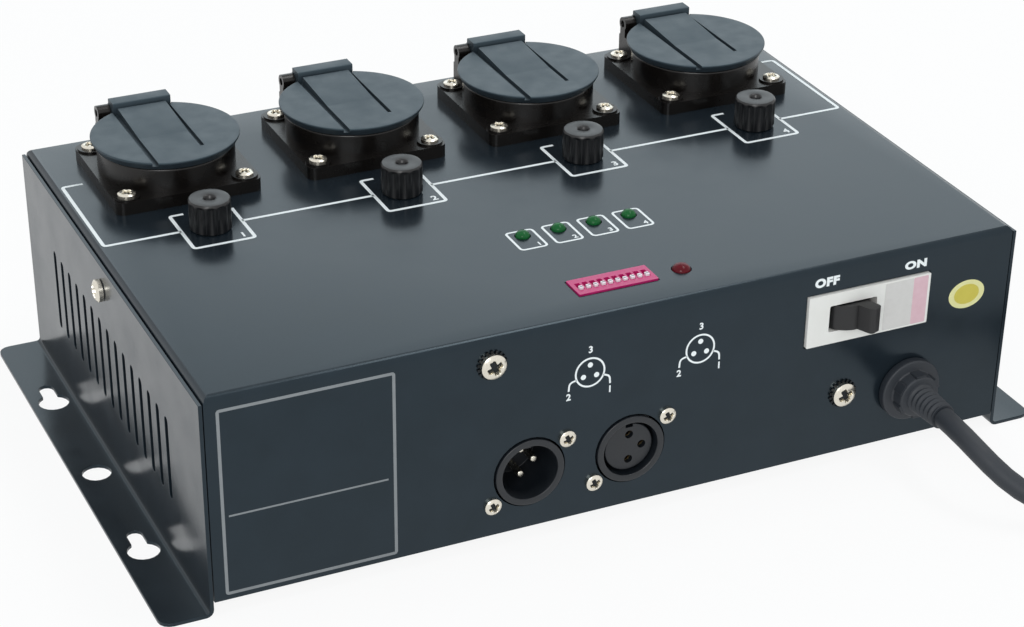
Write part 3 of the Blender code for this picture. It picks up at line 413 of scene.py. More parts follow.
def joined(shapes):
    """Several shapes as one."""
    points, faces, start = [], [], 0
    for shape in shapes:
        points.append(shape[0])
        faces += [[i + start for i in face] for face in shape[1]]
        start += len(shape[0])
    return np.concatenate(points), faces


def paired(shape, pitch):
    """A shape twice, half a pitch to either side."""
    return [moved(shape, (side * pitch / 2, 0, 0)) for side in (-1, 1)]


def mesh_of(name, shape):
    """A closed mesh from a shape, with its poles merged and its faces turned outwards."""
    mesh = bpy.data.meshes.new(name)
    mesh.from_pydata(shape[0].tolist(), [], shape[1])
    solid = bmesh.new()
    solid.from_mesh(mesh)
    bmesh.ops.remove_doubles(solid, verts=solid.verts, dist=MERGE)
    bmesh.ops.recalc_face_normals(solid, faces=solid.faces)
    solid.to_mesh(mesh)
    solid.free()
    return mesh


def shape_of(mesh):
    """The points and faces of a mesh."""
    points = np.empty(len(mesh.vertices) * 3)
    mesh.vertices.foreach_get("co", points)
    return points.reshape(-1, 3), [list(face.vertices) for face in mesh.polygons]


def linked(name, data):
    """A new object in the scene."""
    item = bpy.data.objects.new(name, data)
    bpy.context.scene.collection.objects.link(item)
    return item


def evaluated(item):
    """The shape of an object with its modifiers done."""
    graph = bpy.context.evaluated_depsgraph_get()
    return shape_of(bpy.data.meshes.new_from_object(item.evaluated_get(graph)))


def carved(base, joins=(), cuts=()):
    """A shape with others joined to it and others cut out of it."""
    helpers = [linked("body", mesh_of("body", base))]
    for operation, tools in (("UNION", joins), ("DIFFERENCE", cuts)):
        for shape in tools:
            step = helpers[0].modifiers.new(operation, "BOOLEAN")
            step.operation, step.object = operation, linked("tool", mesh_of("tool", shape))
            helpers.append(step.object)
    result = evaluated(helpers[0])
    for helper in helpers:
        bpy.data.objects.remove(helper)
    return result


def make(name, shape, finish, node=None, body="housing", bevel=0.0, slot=None):
    """A piece of the pack: its mesh, its finish, its bevelled edges, the body that it rides on, and the
    CAD node that it stands for, which is hidden. The slot, its finish's own if none is named, is not used."""
    mesh = mesh_of(name, shape)
    mesh.shade_smooth()
    mesh.set_sharp_from_angle(angle=SHARP_FROM)
    mesh.materials.append(finish)
    item = linked(name, mesh)
    if bevel:
        edges = item.modifiers.new("edges", "BEVEL")
        edges.width, edges.segments = bevel, 2
        edges.limit_method, edges.angle_limit = "ANGLE", BEVEL_FROM
        edges.harden_normals = True
    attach(item, body)
    slot = slot or slot_of.get(finish.name)
    if node:
        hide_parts(node)
    return item


def middle(node):
    """The middle of a CAD node's box."""
    low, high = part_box(node)
    return (low + high) / 2


print("helpers ready, no piece made yet:", len(bpy.data.meshes), "meshes")

# %% [markdown]
# ## The mains cord
#
# The cord is 1.5 m of round vinyl flex, 7 mm thick. It leaves the strain relief straight to the
# front, sinks to the floor and runs off to the right. The length that the photograph does not show
# lies beside the pack in a neat coil of two layers. It could be simulated. A natural spline through a
# few chosen points gives the same easy line, and the coil is a spiral in, up and out again.

# %% Cord
CORD_R = 0.0035
CORD_STEP = 0.006
CORD_LOW = 0.0036
BOX_SHIFT = 0.005
COIL_X = 0.2120
COIL_OUTER_R = 0.0498
COIL_TURN_STEP = 0.0076
COIL_LAYER_STEP = 0.0076
COIL_LAYER_TURNS = 2.375
COIL_POINTS = 48
LEAD_END_Y = -0.1620 + BOX_SHIFT
GLAND_X, GLAND_Z, GLAND_TIP_Y = 0.1027, 0.0240, -0.1103
PLUG_AXIS_Z = 0.0183
PLUG_RISE_RUN = 0.0450
LEAD_ROUTE = [
    (0.1032, -0.1240, 0.0226),
    (0.1056, -0.1320, 0.0190),
    (0.1100, -0.1395, 0.0142),
    (0.1165, -0.1458, 0.0098),
    (0.1250, -0.1507, 0.0066),
    (0.1350, -0.1540, 0.0047),
    (0.1470, -0.1560, 0.0038),
    (COIL_X - 6 * CORD_R, LEAD_END_Y, CORD_LOW),
    (COIL_X - 2 * CORD_R, LEAD_END_Y, CORD_LOW),
]


def smooth_route(given, spacing):
    """Even points on the natural cubic spline through the given ones: its second derivatives solve
    a tridiagonal system, and each span is a blend of its two ends plus their pull."""
    given = np.array(given, float)
    along = np.concatenate([[0.0], np.cumsum(np.linalg.norm(np.diff(given, axis=0), axis=1))])
    count = len(given)
    system, right_side = np.eye(count), np.zeros_like(given)
    for i in range(1, count - 1):
        before, after = along[i] - along[i - 1], along[i + 1] - along[i]
        system[i, i - 1:i + 2] = before, 2 * (before + after), after
        right_side[i] = 6 * ((given[i + 1] - given[i]) / after - (given[i] - given[i - 1]) / before)
    bend = np.linalg.solve(system, right_side)
    wanted = np.linspace(0.0, along[-1], round(along[-1] / spacing) + 1)
    i = np.clip(np.searchsorted(along, wanted, side="right") - 1, 0, count - 2)
    span = along[i + 1] - along[i]
    a, b = (along[i + 1] - wanted) / span, (wanted - along[i]) / span
    pull = ((a ** 3 - a)[:, None] * bend[i] + (b ** 3 - b)[:, None] * bend[i + 1])
    return a[:, None] * given[i] + b[:, None] * given[i + 1] + pull * (span ** 2 / 6)[:, None]


def coil_route():
    """The spiral: the radius shrinks by a step each turn until the middle and grows again, and the
    height climbs one layer, as 3c^2 - 2c^3, in the half turn between."""
    total = 2 * COIL_LAYER_TURNS + 0.5
    turn = np.linspace(0.0, total, round(total * COIL_POINTS) + 1)
    radius = COIL_OUTER_R - COIL_TURN_STEP * np.minimum(turn, total - turn)
    climb = np.clip((turn - COIL_LAYER_TURNS) / 0.5, 0.0, 1.0)
    angle = 2 * np.pi * (turn - 0.25)
    height = CORD_LOW + COIL_LAYER_STEP * climb * climb * (3 - 2 * climb)
    coil = np.stack([COIL_X + radius * np.cos(angle),
                     LEAD_END_Y + COIL_OUTER_R + radius * np.sin(angle), height], -1)
    share = np.linspace(0, 1, 14)[1:]
    climb = np.minimum(1.0, share * 1.2)
    rise = coil[-1] + np.stack([0 * share, PLUG_RISE_RUN * share,
                                (PLUG_AXIS_Z - coil[-1][2]) * climb * climb * (3 - 2 * climb)], -1)
    return np.concatenate([coil, rise])


route = np.concatenate([smooth_route([(GLAND_X, GLAND_TIP_Y, GLAND_Z)] + LEAD_ROUTE, CORD_STEP)[:-1],
                        coil_route()])
route[:, 1] = np.maximum(route[:, 1], LEAD_END_Y)
route[:, 2] = np.maximum(route[:, 2], CORD_LOW)
line = bpy.data.curves.new("mains_flex", "CURVE")
line.dimensions = "3D"
line.bevel_depth, line.bevel_resolution, line.use_fill_caps = CORD_R, 6, True
spline = line.splines.new("POLY")
spline.points.add(len(route) - 1)
spline.points.foreach_set("co", np.c_[route, np.ones(len(route))].ravel())
spline.use_smooth = True
line.materials.append(cord_vinyl)
flex = linked("mains_flex", line)
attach(flex, "housing")
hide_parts("mains_cord", "mains_cord_coil")
print("cord length", round(float(np.linalg.norm(np.diff(route, axis=0), axis=1).sum()), 4), "m")

# %% [markdown]
# ## Plug and strain relief
#
# Both are moulded onto the flex, so both are round about it: a profile of radii and heights with its
# corners eased. The plug's grip ribs and the boot's rings are a cosine added to the radius.

# %% Plug
PLUG_LEN, PLUG_BODY_START, PLUG_R, PLUG_TAIL_R = 0.0480, 0.0180, 0.0178, 0.0062
PLUG_PIN_R, PLUG_PIN_LEN, PLUG_PIN_PITCH = 0.0024, 0.0190, 0.0190
PLUG_CLIP_W, PLUG_CLIP_T, PLUG_CLIP_FOOT, PLUG_CLIP_AT = 0.0060, 0.0008, 0.0300, 0.0174


def ribbed(start, end, low, high, count, depth):
    """A tapering profile with ribs: r runs from start to end, less depth times (1 - cos) / 2."""
    share = np.linspace(0, 1, count * 10 + 1)
    radius = start + (end - start) * share - depth * (1 - np.cos(2 * np.pi * count * share)) / 2
    return np.stack([radius, low + (high - low) * share], -1)


plug_profile = np.concatenate([
    [(0, 0.0003)], ribbed(PLUG_TAIL_R, PLUG_TAIL_R + 0.001, 0.0003, 0.0150, 5, 0.0010),
    eased([(0.0075, PLUG_BODY_START - 0.002), (0.0140, PLUG_BODY_START + 0.001),
           (PLUG_R, 0.0270), (PLUG_R, PLUG_LEN), (0.0, PLUG_LEN)], 0.0015)])
plug_place = Matrix.Translation(route[-1]) @ TOWARDS_FRONT.inverted()
plug_body = make("plug_body", placed(turned(plug_profile), plug_place), cord_vinyl, "mains_plug")
pins = paired(rod(PLUG_PIN_R, PLUG_LEN - 0.001, PLUG_LEN + PLUG_PIN_LEN, 24, 0.0016), PLUG_PIN_PITCH)
plug_pins = make("plug_pins", placed(joined(pins), plug_place), nickel)
clip = pulled(slab(PLUG_CLIP_W, PLUG_CLIP_T, 0.0003), PLUG_CLIP_FOOT, PLUG_LEN + 0.0002)
clips = [moved(clip, (0, side * PLUG_CLIP_AT, 0)) for side in (-1, 1)]
plug_clips = make("plug_earth_clips", placed(joined(clips), plug_place), nickel)
print("plug made of", len(plug_body.data.polygons), "faces")

# %% Strain relief
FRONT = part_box("top_shell")[0].y
BOOT_LEN, BOOT_RINGS = 0.0220, 6
FLAT_W, FLAT_T, FLAT_LOW, FLAT_HIGH, FLAT_AT = 0.0036, 0.0012, 0.0040, 0.0080, 0.0072


def on_panel(x, z, proud=0.0):
    """The frame of a piece that faces the viewer from a place on the front panel."""
    return Matrix.Translation((x, FRONT - proud, z)) @ TOWARDS_FRONT


gland_profile = np.concatenate([
    [(0, 0.0)], eased([(0.0078, 0.0), (0.0108, 0.0002), (0.0108, 0.0033), (0.0074, 0.0036),
                       (0.0072, 0.0082), (0.0052, 0.0086)], 0.0007),
    ribbed(0.0051, 0.0043, 0.0090, 0.0218, BOOT_RINGS, 0.0007), [(0.0042, BOOT_LEN), (0, BOOT_LEN)]])
flat = moved(pulled(slab(FLAT_W, FLAT_T, 0.0004), FLAT_LOW, FLAT_HIGH), (0, FLAT_AT, 0))
flats = [placed(flat, Matrix.Rotation(math.radians(60 * i), 4, "Z")) for i in range(6)]
gland_shape = placed(joined([turned(gland_profile)] + flats), on_panel(GLAND_X, GLAND_Z))
gland = make("strain_relief_moulding", gland_shape, cord_vinyl, "strain_relief", slot="black_plastic")
print("strain relief reaches", round(FRONT - BOOT_LEN, 4))

# %% [markdown]
# ## The steel housing
#
# The top, front and back are one folded sheet, and each end is another with its flange. The packed
# solids have the right holes and folds, so copies of them are kept: their loose triangles are merged,
# flat faces joined, and every edge gets the tiny radius that paint leaves on punched steel.

# %% Sheet metal
PAINTED_EDGE = 0.00022
FLAT_ANGLE = math.radians(1.5)


def copy_of(node):
    """A CAD node's surface with its triangles merged and its flat faces joined."""
    solid = bmesh.new()
    solid.from_mesh(nodes[node].data)
    bmesh.ops.remove_doubles(solid, verts=solid.verts, dist=1e-6)
    bmesh.ops.dissolve_limit(solid, angle_limit=FLAT_ANGLE, verts=solid.verts, edges=solid.edges)
    mesh = bpy.data.meshes.new(node)
    solid.to_mesh(mesh)
    solid.free()
    return shape_of(mesh)


for node in ("top_shell", "end_plate_left", "end_plate_right", "bottom_plate"):
    make(node + "_sheet", copy_of(node), powder_coat, node, bevel=PAINTED_EDGE)
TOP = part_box("top_shell")[1].z
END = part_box("end_plate_right")[1].x
print("housing", round(2 * END * 1000), "mm wide,", round(TOP * 1000, 1), "mm high")

# %% [markdown]
# ## Screws
#
# Every screw is a pan head with a cross recess. A head could be turned and cut with two boxes. It is
# one grid instead, radius by angle, whose height is a dome less a smooth cross, so the recess has
# soft flanks like a pressed one.

# %% Screw heads and washers
CROSS_HALF_W, CROSS_REACH, CROSS_DEPTH, HOLLOW = 0.18, 0.64, 0.92, 0.30
CROSS_TURN = math.radians(25)


def smooth_step(low, high, value):
    """0 below low, 1 above high, and 3s^2 - 2s^3 of the share s between."""
    share = np.clip((value - low) / (high - low), 0, 1)
    return share * share * (3 - 2 * share)


def pan_head(radius, height, steps=64, rows=22):
    """Height of the top over the seat: the dome 1 - 0.45 s^3 of the radius share s, less the cross
    where the smaller of |x| and |y| is under the arm's half width and the larger is under its reach,
    and less a round hollow in its middle."""
    share = np.linspace(1.0, 0.0, rows)[:, None]
    angle = round_angles(steps) + CROSS_TURN
    x, y = share * np.cos(angle), share * np.sin(angle)
    across = np.abs(x * math.cos(CROSS_TURN) + y * math.sin(CROSS_TURN))
    along = np.abs(y * math.cos(CROSS_TURN) - x * math.sin(CROSS_TURN))
    arm = 1 - smooth_step(CROSS_HALF_W * 0.7, CROSS_HALF_W * 1.4, np.minimum(across, along))
    inside = 1 - smooth_step(CROSS_REACH * 0.75, CROSS_REACH, np.maximum(across, along))
    hollow = np.maximum(arm * inside, 1 - smooth_step(HOLLOW * 0.8, HOLLOW * 1.2, share))
    top = height * (1 - 0.45 * share ** 3 - CROSS_DEPTH * hollow)
    dome = np.stack([x * radius, y * radius, top + 0 * x], -1)
    return skin(np.concatenate([about_z(radius, 0.0, angle)[None], dome]))


def recess_floor(radius, height):
    """A disc of painted shade deep in a recess: dark, between 0.2 and 0.35 of the head's height."""
    return pulled(ring(radius * 0.62, 32), height * 0.20, height * 0.35)


def toothed_washer(inner, outer, thickness, teeth):
    """A washer whose outer teeth are twisted: over each tooth the radius is a square wave and the
    height a tilt across it."""
    angle = round_angles(teeth * 12)
    phase = (angle * teeth / (2 * np.pi)) % 1.0
    tooth = smooth_step(0.25, 0.35, phase) * (1 - smooth_step(0.85, 0.95, phase))
    rim = inner + (outer - inner) * (0.45 + 0.55 * tooth)
    tilt = thickness * 0.6 * tooth * (phase - 0.6)
    rows = [(inner, 0.0), (rim, tilt), (rim, tilt + thickness), (inner, thickness)]
    return skin(np.stack([about_z(radius, height, angle) for radius, height in rows]), wrap=True)


print("a screw head has", len(pan_head(0.003, 0.002)[1]), "faces")

# %% Screws of the front and the ends
CLAMP_SCREW, CLAMP_SCREWS = (0.0041, 0.0024), [(-0.0473, 0.0662), (0.0778, 0.0273)]
JACK_SCREW, JACK_SCREW_OFFSET = (0.0028, 0.0017), (0.0126, 0.00926)
END_SCREW = (0.0037, 0.0025)
WASHER_R, WASHER_T, WASHER_TEETH = (0.0022, 0.0050), 0.0006, 18
jacks = {name: middle(name) for name in ("data_in_male", "data_out_female")}
washer = toothed_washer(*WASHER_R, WASHER_T, WASHER_TEETH)
washers = [placed(washer, on_panel(x, z)) for x, z in CLAMP_SCREWS]
screws = [(on_panel(x, z, WASHER_T), CLAMP_SCREW) for x, z in CLAMP_SCREWS]
screws += [(on_panel(jack.x + side * JACK_SCREW_OFFSET[0], jack.z + side * JACK_SCREW_OFFSET[1]), JACK_SCREW)
           for jack in jacks.values() for side in (-1, 1)]
make("front_screws", joined([placed(pan_head(*size), place) for place, size in screws]), nickel)
for name, turn, wall in (("left", TOWARDS_LEFT, 0), ("right", TOWARDS_RIGHT, 1)):
    node = f"end_screw_{name}"
    place = middle(node)
    place.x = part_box(node)[1 - wall].x
    screws.append((Matrix.Translation(place) @ turn, END_SCREW))
    make(node + "_head", placed(pan_head(*END_SCREW), screws[-1][0]), nickel, node)
# A dark disc deep in each cross recess paints the shade there
shade_discs = [placed(recess_floor(*size), place) for place, size in screws]
make("washers_and_recess_shade_discs", joined(washers + shade_discs), dark_steel_and_shade)
print("screws of the front and the ends:", len(screws))

# %% [markdown]
# ## Mains sockets
#
# Each socket is one moulding: a square flange with a lug at each corner, a round neck, a deep recess
# with two contact holes, and a bracket whose ears hold the lid's pin. It is carved from turned and
# pulled shapes, all measured from the panel under it, and one shape serves all four channels.

# %% Socket mouldings
CHANNELS = range(1, 5)
SOCKET_Y = frame["record"]["mounts"][2]["pos_m"][1]
FLANGE, FLANGE_T, FLANGE_CORNER = 0.0500, 0.0043, 0.0030
LUG_AT, LUG_R, LUG_TOP = 0.0203, 0.0044, 0.0050
NECK_R, NECK_TOP, RECESS_R, RECESS_FLOOR = 0.0230, 0.0123, 0.0195, -0.0052
REAR_R, REAR_DEPTH = 0.0210, 0.0280
HOLE_R, HOLE_PITCH, HOLE_DEPTH, PIN_BORE_R = 0.0028, 0.0190, 0.0160, 0.0013
EAR_LEFT, EAR_RIGHT, EAR_POST, EAR_R = (-0.0154, -0.0110), (0.0043, 0.0085), 0.0018, 0.0025
BRACKET_FRONT_R, BRACKET_TOP, BAR_RIGHT = 0.0215, 0.0090, 0.0096
HINGE = Vector((0.0, 0.0275, 0.0136))
CORNERS = [(-1, -1), (1, -1), (1, 1), (-1, 1)]


def hinge_ear(span):
    """A post that ends in three quarters of a circle about the hinge's axis, pulled along X."""
    below = math.acos(EAR_POST / EAR_R)
    angle = np.linspace(-below, math.pi + below, 24)
    head = np.stack([HINGE.y + EAR_R * np.cos(angle), HINGE.z + EAR_R * np.sin(angle)], -1)
    foot = [(HINGE.y - EAR_POST, BRACKET_TOP - 0.001), (HINGE.y + EAR_POST, BRACKET_TOP - 0.001)]
    return pulled(np.concatenate([foot, head]), span[0], span[1], "X")


def bracket():
    """A block behind the neck whose front follows an arc inside the neck's wall."""
    reach = np.linspace(EAR_LEFT[0], BAR_RIGHT, 16)
    front = np.stack([reach, np.sqrt(BRACKET_FRONT_R ** 2 - reach ** 2)], -1)
    far = HINGE.y + EAR_R
    outline = np.concatenate([front, [(BAR_RIGHT, far), (EAR_LEFT[0], far)]])
    return pulled(outline, FLANGE_T / 2, BRACKET_TOP)


flange = pulled(slab(FLANGE, FLANGE, FLANGE_CORNER), 0.0, FLANGE_T)
lugs = [pulled(ring(LUG_R, 32, (x * LUG_AT, y * LUG_AT)), 0.001, LUG_TOP) for x, y in CORNERS]
neck = turned(np.concatenate([
    [(0, -REAR_DEPTH), (REAR_R, -REAR_DEPTH), (REAR_R, 0.002), (NECK_R, 0.002)],
    eased([(NECK_R, 0.003), (NECK_R, NECK_TOP), (RECESS_R, NECK_TOP)], 0.0009), [(0, NECK_TOP)]]), 96)
recess = rod(RECESS_R, RECESS_FLOOR, 0.02, 96)
holes = paired(rod(HOLE_R, RECESS_FLOOR - HOLE_DEPTH, 0.001), HOLE_PITCH)
pin_bore = placed(rod(PIN_BORE_R, -0.016, 0.011, 24), Matrix.Translation(HINGE) @ TOWARDS_RIGHT)
socket_shape = carved(flange, lugs + [neck, bracket(), hinge_ear(EAR_LEFT), hinge_ear(EAR_RIGHT)],
                      [recess, pin_bore] + holes)
channel_at = {k: Vector((middle(f"fuse_cap_{k}").x, SOCKET_Y, TOP)) for k in CHANNELS}
for k in CHANNELS:
    make(f"socket_moulding_{k}", moved(socket_shape, channel_at[k]), socket_nylon, f"socket_body_{k}",
         bevel=0.0003)
print("one socket moulding:", len(socket_shape[1]), "faces")

# %% Screws, ribs and contacts of the sockets
RIB_W, RIB_T = 0.0040, 0.0016
CLIP_W, CLIP_T, CLIP_BULGE = 0.0042, 0.0005, 0.0022
FLANGE_SCREW = (0.0030, 0.0016)


def earth_clip():
    """A strip of spring brass up the recess's wall: it bulges inwards by sin^2 along its height."""
    share = np.linspace(0, 1, 20)
    inwards = RECESS_R - 0.0004 - CLIP_BULGE * np.sin(np.pi * share) ** 2
    height = RECESS_FLOOR + 0.001 + (NECK_TOP - RECESS_FLOOR - 0.003) * share
    side = [(-CLIP_W / 2, 0.0), (CLIP_W / 2, 0.0), (CLIP_W / 2, CLIP_T), (-CLIP_W / 2, CLIP_T)]
    return skin(np.stack([np.stack([x + 0 * share, inwards - t, height], -1) for x, t in side], 1))


clip_pair = joined([earth_clip(), placed(earth_clip(), Matrix.Rotation(math.pi, 4, "Z"))])
rib_pair = joined([block((side * RECESS_R - RIB_T, -RIB_W / 2, RECESS_FLOOR - 0.0005),
                         (side * RECESS_R + RIB_T, RIB_W / 2, NECK_TOP - 0.003)) for side in (-1, 1)])
sleeves = joined(paired(tube(0.0014, 0.0026, -0.0150, -0.0070), HOLE_PITCH))
# The flange screws get the same dark discs of painted shade in their recesses
heads, shade_discs = (joined([moved(shape, (x * LUG_AT, y * LUG_AT, LUG_TOP - 0.0003)) for x, y in CORNERS])
                 for shape in (pan_head(*FLANGE_SCREW), recess_floor(*FLANGE_SCREW)))
hinge_rod = rod(0.001, -0.0145, 0.0084, 24, 0.0003)
for k in CHANNELS:
    at = channel_at[k]
    make(f"flange_screws_{k}", moved(heads, at), nickel)
    # Dark discs of painted shade in the flange screws' recesses
    make(f"recess_shade_discs_{k}", moved(shade_discs, at), dark_steel_and_shade)
    make(f"earth_clips_{k}", moved(clip_pair, at), brass, bevel=0.0001)
    make(f"guide_ribs_{k}", moved(rib_pair, at), socket_nylon, bevel=0.0003)
    make(f"contact_sleeves_{k}", moved(sleeves, at), brass)
    make(f"hinge_rod_{k}", placed(hinge_rod, Matrix.Translation(at + HINGE) @ TOWARDS_RIGHT), zinc,
         f"hinge_pin_{k}")
print("pieces in one socket: moulding, screws, clips, ribs, sleeves, rod and lid")

# %% [markdown]
# ## Splash lids
#
# A lid is a disc with a soft rim, a sealing boss underneath and a raised bar over the hinge. A tongue
# runs forward from the bar and sinks into the disc, with a groove on either side: the left one reaches
# the rim and the right one stops short. All of it is measured from the hinge's axis.

# %% Lids
LID_R, LID_TOP, LID_UNDER, LID_TAPER, BOSS_R, BOSS_DEPTH = 0.0248, 0.0017, -0.0010, 0.0012, 0.0186, 0.0020
BAR_LEFT, BAR_BACK, BAR_TOP, KNUCKLE_R = -0.0107, 0.0012, 0.0042, 0.0028
PLAY, CLEAR = 0.0003, 0.00005
GROOVES = [(-0.0105, 0.0260, 0.0018), (0.0080, 0.0150, 0.0014)]
GROOVE_DEPTH = 0.0014
RIDGE_FRONT, SLOT_W, TONGUE_TOP, TONGUE_END = -0.0046, 0.0012, 0.0031, -0.0300
TONGUE_LEFT, TONGUE_RIGHT = -0.0100, 0.0076

lid_profile = np.concatenate([
    [(0, LID_UNDER - BOSS_DEPTH)], eased([(BOSS_R - 0.001, LID_UNDER - BOSS_DEPTH),
                                          (BOSS_R, LID_UNDER - BOSS_DEPTH), (BOSS_R, LID_UNDER)], 0.0005),
    eased([(LID_R - LID_TAPER, LID_UNDER), (LID_R, LID_TOP - 0.0007), (LID_R, LID_TOP),
           (LID_R - 0.002, LID_TOP)], 0.0007), [(0, LID_TOP)]])
disc = moved(turned(lid_profile, 128), (0, -HINGE.y, 0))
bar_outline = eased([(BAR_BACK, LID_UNDER + CLEAR), (BAR_BACK, BAR_TOP), (RIDGE_FRONT, BAR_TOP),
                     (RIDGE_FRONT, LID_UNDER + CLEAR)], 0.0006)
bar = pulled(bar_outline, BAR_LEFT, BAR_RIGHT, "X")
tongue_outline = eased([(RIDGE_FRONT - SLOT_W, 0.0), (RIDGE_FRONT - SLOT_W, TONGUE_TOP),
                        (TONGUE_END, LID_TOP), (TONGUE_END, 0.0)], 0.0006)
tongue = pulled(tongue_outline, TONGUE_LEFT, TONGUE_RIGHT, "X")
knuckle = placed(rod(KNUCKLE_R, BAR_LEFT + CLEAR, EAR_RIGHT[0], 40), TOWARDS_RIGHT)
swing = EAR_R + PLAY
notch = block((EAR_RIGHT[0] - PLAY, -swing, -2 * swing), (EAR_RIGHT[1] + PLAY, 2 * swing, swing))
bore = placed(rod(PIN_BORE_R, BAR_LEFT - 0.001, 0.0085, 24), TOWARDS_RIGHT)
grooves = [block((x - width / 2, -HINGE.y - reach, LID_TOP - GROOVE_DEPTH + CLEAR),
                 (x + width / 2, RIDGE_FRONT - SLOT_W / 2, BAR_TOP + 0.001))
           for x, reach, width in GROOVES]
bar_slot = block((BAR_LEFT - CLEAR, RIDGE_FRONT - SLOT_W - CLEAR, LID_TOP - GROOVE_DEPTH),
                 (BAR_RIGHT + CLEAR, RIDGE_FRONT + CLEAR, BAR_TOP + 0.002))
lid_shape = carved(disc, [bar, knuckle, tongue], [notch, bore, bar_slot] + grooves)
for k in CHANNELS:
    make(f"lid_moulding_{k}", moved(lid_shape, channel_at[k] + HINGE), lid_plastic, f"splash_lid_{k}",
         f"lid_{k}", bevel=0.0002)
print("one lid:", len(lid_shape[1]), "faces")

# %% [markdown]
# ## Fuses
#
# A cap is a knob with twelve flutes and a skirt that hides its holder. Its side is the one surface
# here whose radius follows the angle as well as the height: it loses half of 1 - cos(12 t) of the
# flute's depth, fully at mid height and not at all at the rim. Under it hangs the glass link that it
# pulls out.

# %% Fuse caps, holders and links
CAP_R, CAP_LOW, CAP_TOP, CAP_FLUTES, FLUTE_DEPTH = 0.0070, 0.0014, 0.0108, 12, 0.0007
SKIRT_R, SKIRT_LOW, HOLDER_R = 0.0061, 0.0004, 0.0058
DIMPLE_R, DIMPLE_DEPTH, SPIGOT_R, SPIGOT_END = 0.0019, 0.0012, 0.0039, -0.0120
LINK_R, LINK_TOP, LINK_LEN, LINK_CAP = 0.0025, -0.0087, 0.0200, 0.0050
GLASS_R, WIRE_R = LINK_R - 0.00015, 0.0001


def fluted(rows, steps=192):
    """Rows of (radius, height, flute share) turned about Z: r less share times depth times
    (1 - cos(12 t)) / 2."""
    radius, height, share = np.array(rows, float).T[:, :, None]
    angle = round_angles(steps)
    wave = (1 - np.cos(CAP_FLUTES * angle)) / 2
    return skin(about_z(radius - share * FLUTE_DEPTH * wave, height, angle))


cap_rows = [(0, SPIGOT_END, 0), (SPIGOT_R, SPIGOT_END, 0), (SPIGOT_R, CAP_LOW, 0), (SKIRT_R, CAP_LOW, 0),
            (SKIRT_R, SKIRT_LOW, 0), (CAP_R - 0.0003, SKIRT_LOW, 0.4), (CAP_R, SKIRT_LOW + 0.0004, 1),
            (CAP_R, CAP_TOP - 0.0016, 1),
            (CAP_R, CAP_TOP - 0.0010, 0.2), (CAP_R - 0.0001, CAP_TOP - 0.0006, 0),
            (CAP_R - 0.0005, CAP_TOP - 0.0001, 0), (CAP_R - 0.0010, CAP_TOP, 0),
            (DIMPLE_R + 0.0006, CAP_TOP, 0), (DIMPLE_R + 0.0002, CAP_TOP - 0.0002, 0),
            (DIMPLE_R, CAP_TOP - 0.0005, 0), (DIMPLE_R - 0.0003, CAP_TOP - DIMPLE_DEPTH, 0),
            (0, CAP_TOP - DIMPLE_DEPTH, 0)]
grip_bore = rod(LINK_R + PLAY, SPIGOT_END - 0.001, LINK_TOP + PLAY, 40)
cap_shape = carved(fluted(cap_rows), cuts=[grip_bore])
holder_shape = turned(np.concatenate([
    [(0, -0.0320), (HOLDER_R, -0.0320)],
    eased([(HOLDER_R, 0.0), (HOLDER_R, 0.0011), (0.0042, 0.0011), (0.0042, -0.0123)], 0.0004),
    [(0.0031, -0.0123), (0.0031, -0.0290), (0, -0.0290)]]), 64)
link_foot = LINK_TOP - LINK_LEN
link_glass = rod(GLASS_R, link_foot + LINK_CAP, LINK_TOP - LINK_CAP, 40)
link_end = rod(LINK_R, 0.0, LINK_CAP, 40, 0.0004)
link_metal = joined([moved(link_end, (0, 0, z)) for z in (link_foot, LINK_TOP - LINK_CAP)]
                    + [rod(WIRE_R, link_foot + 0.004, LINK_TOP - 0.004, 8)])
for k in CHANNELS:
    at = (channel_at[k].x, middle(f"fuse_cap_{k}").y, TOP)
    make(f"cap_moulding_{k}", moved(cap_shape, at), cap_resin, f"fuse_cap_{k}", f"cap_{k}")
    make(f"holder_moulding_{k}", moved(holder_shape, at), cap_resin, f"fuse_holder_{k}")
    make(f"link_glass_{k}", moved(link_glass, at), glass, f"fuse_link_{k}", f"link_{k}")
    make(f"link_ends_{k}", moved(link_metal, at), nickel, body=f"link_{k}")
print("one cap:", len(cap_shape[1]), "faces")

# %% [markdown]
# ## Indicators and address switch
#
# An indicator is turned, a straight side that ends in a dome. The address switch is a plate punched
# with ten slots, and each lever is a small pulled block with eased edges that rides on its own body.

# %% Indicators
LED_R, LED_REACH, LED_FOOT, LED_SIDE, SIGNAL_R = 0.0024, 0.0019, -0.0105, -0.0030, 0.0030
DOME_SHARE = 0.75


def indicator(radius):
    """A profile from the board to the dome: straight up, then a quarter of an ellipse."""
    angle = np.linspace(0, np.pi / 2, 12)
    dome = np.stack([radius * np.cos(angle), LED_REACH - radius * DOME_SHARE * (1 - np.sin(angle))], -1)
    return turned(np.concatenate([[(0, LED_FOOT), (radius, LED_FOOT), (radius, LED_SIDE)], dome]), 48)


leds = {f"channel_led_{k}": (LED_R, green_epoxy) for k in CHANNELS}
leds["signal_led"] = (SIGNAL_R, red_epoxy)
for node, (radius, epoxy) in leds.items():
    at = middle(node)
    make(node + "_lens", moved(indicator(radius), (at.x, at.y, TOP)), epoxy, node)
print("indicators:", len(leds))

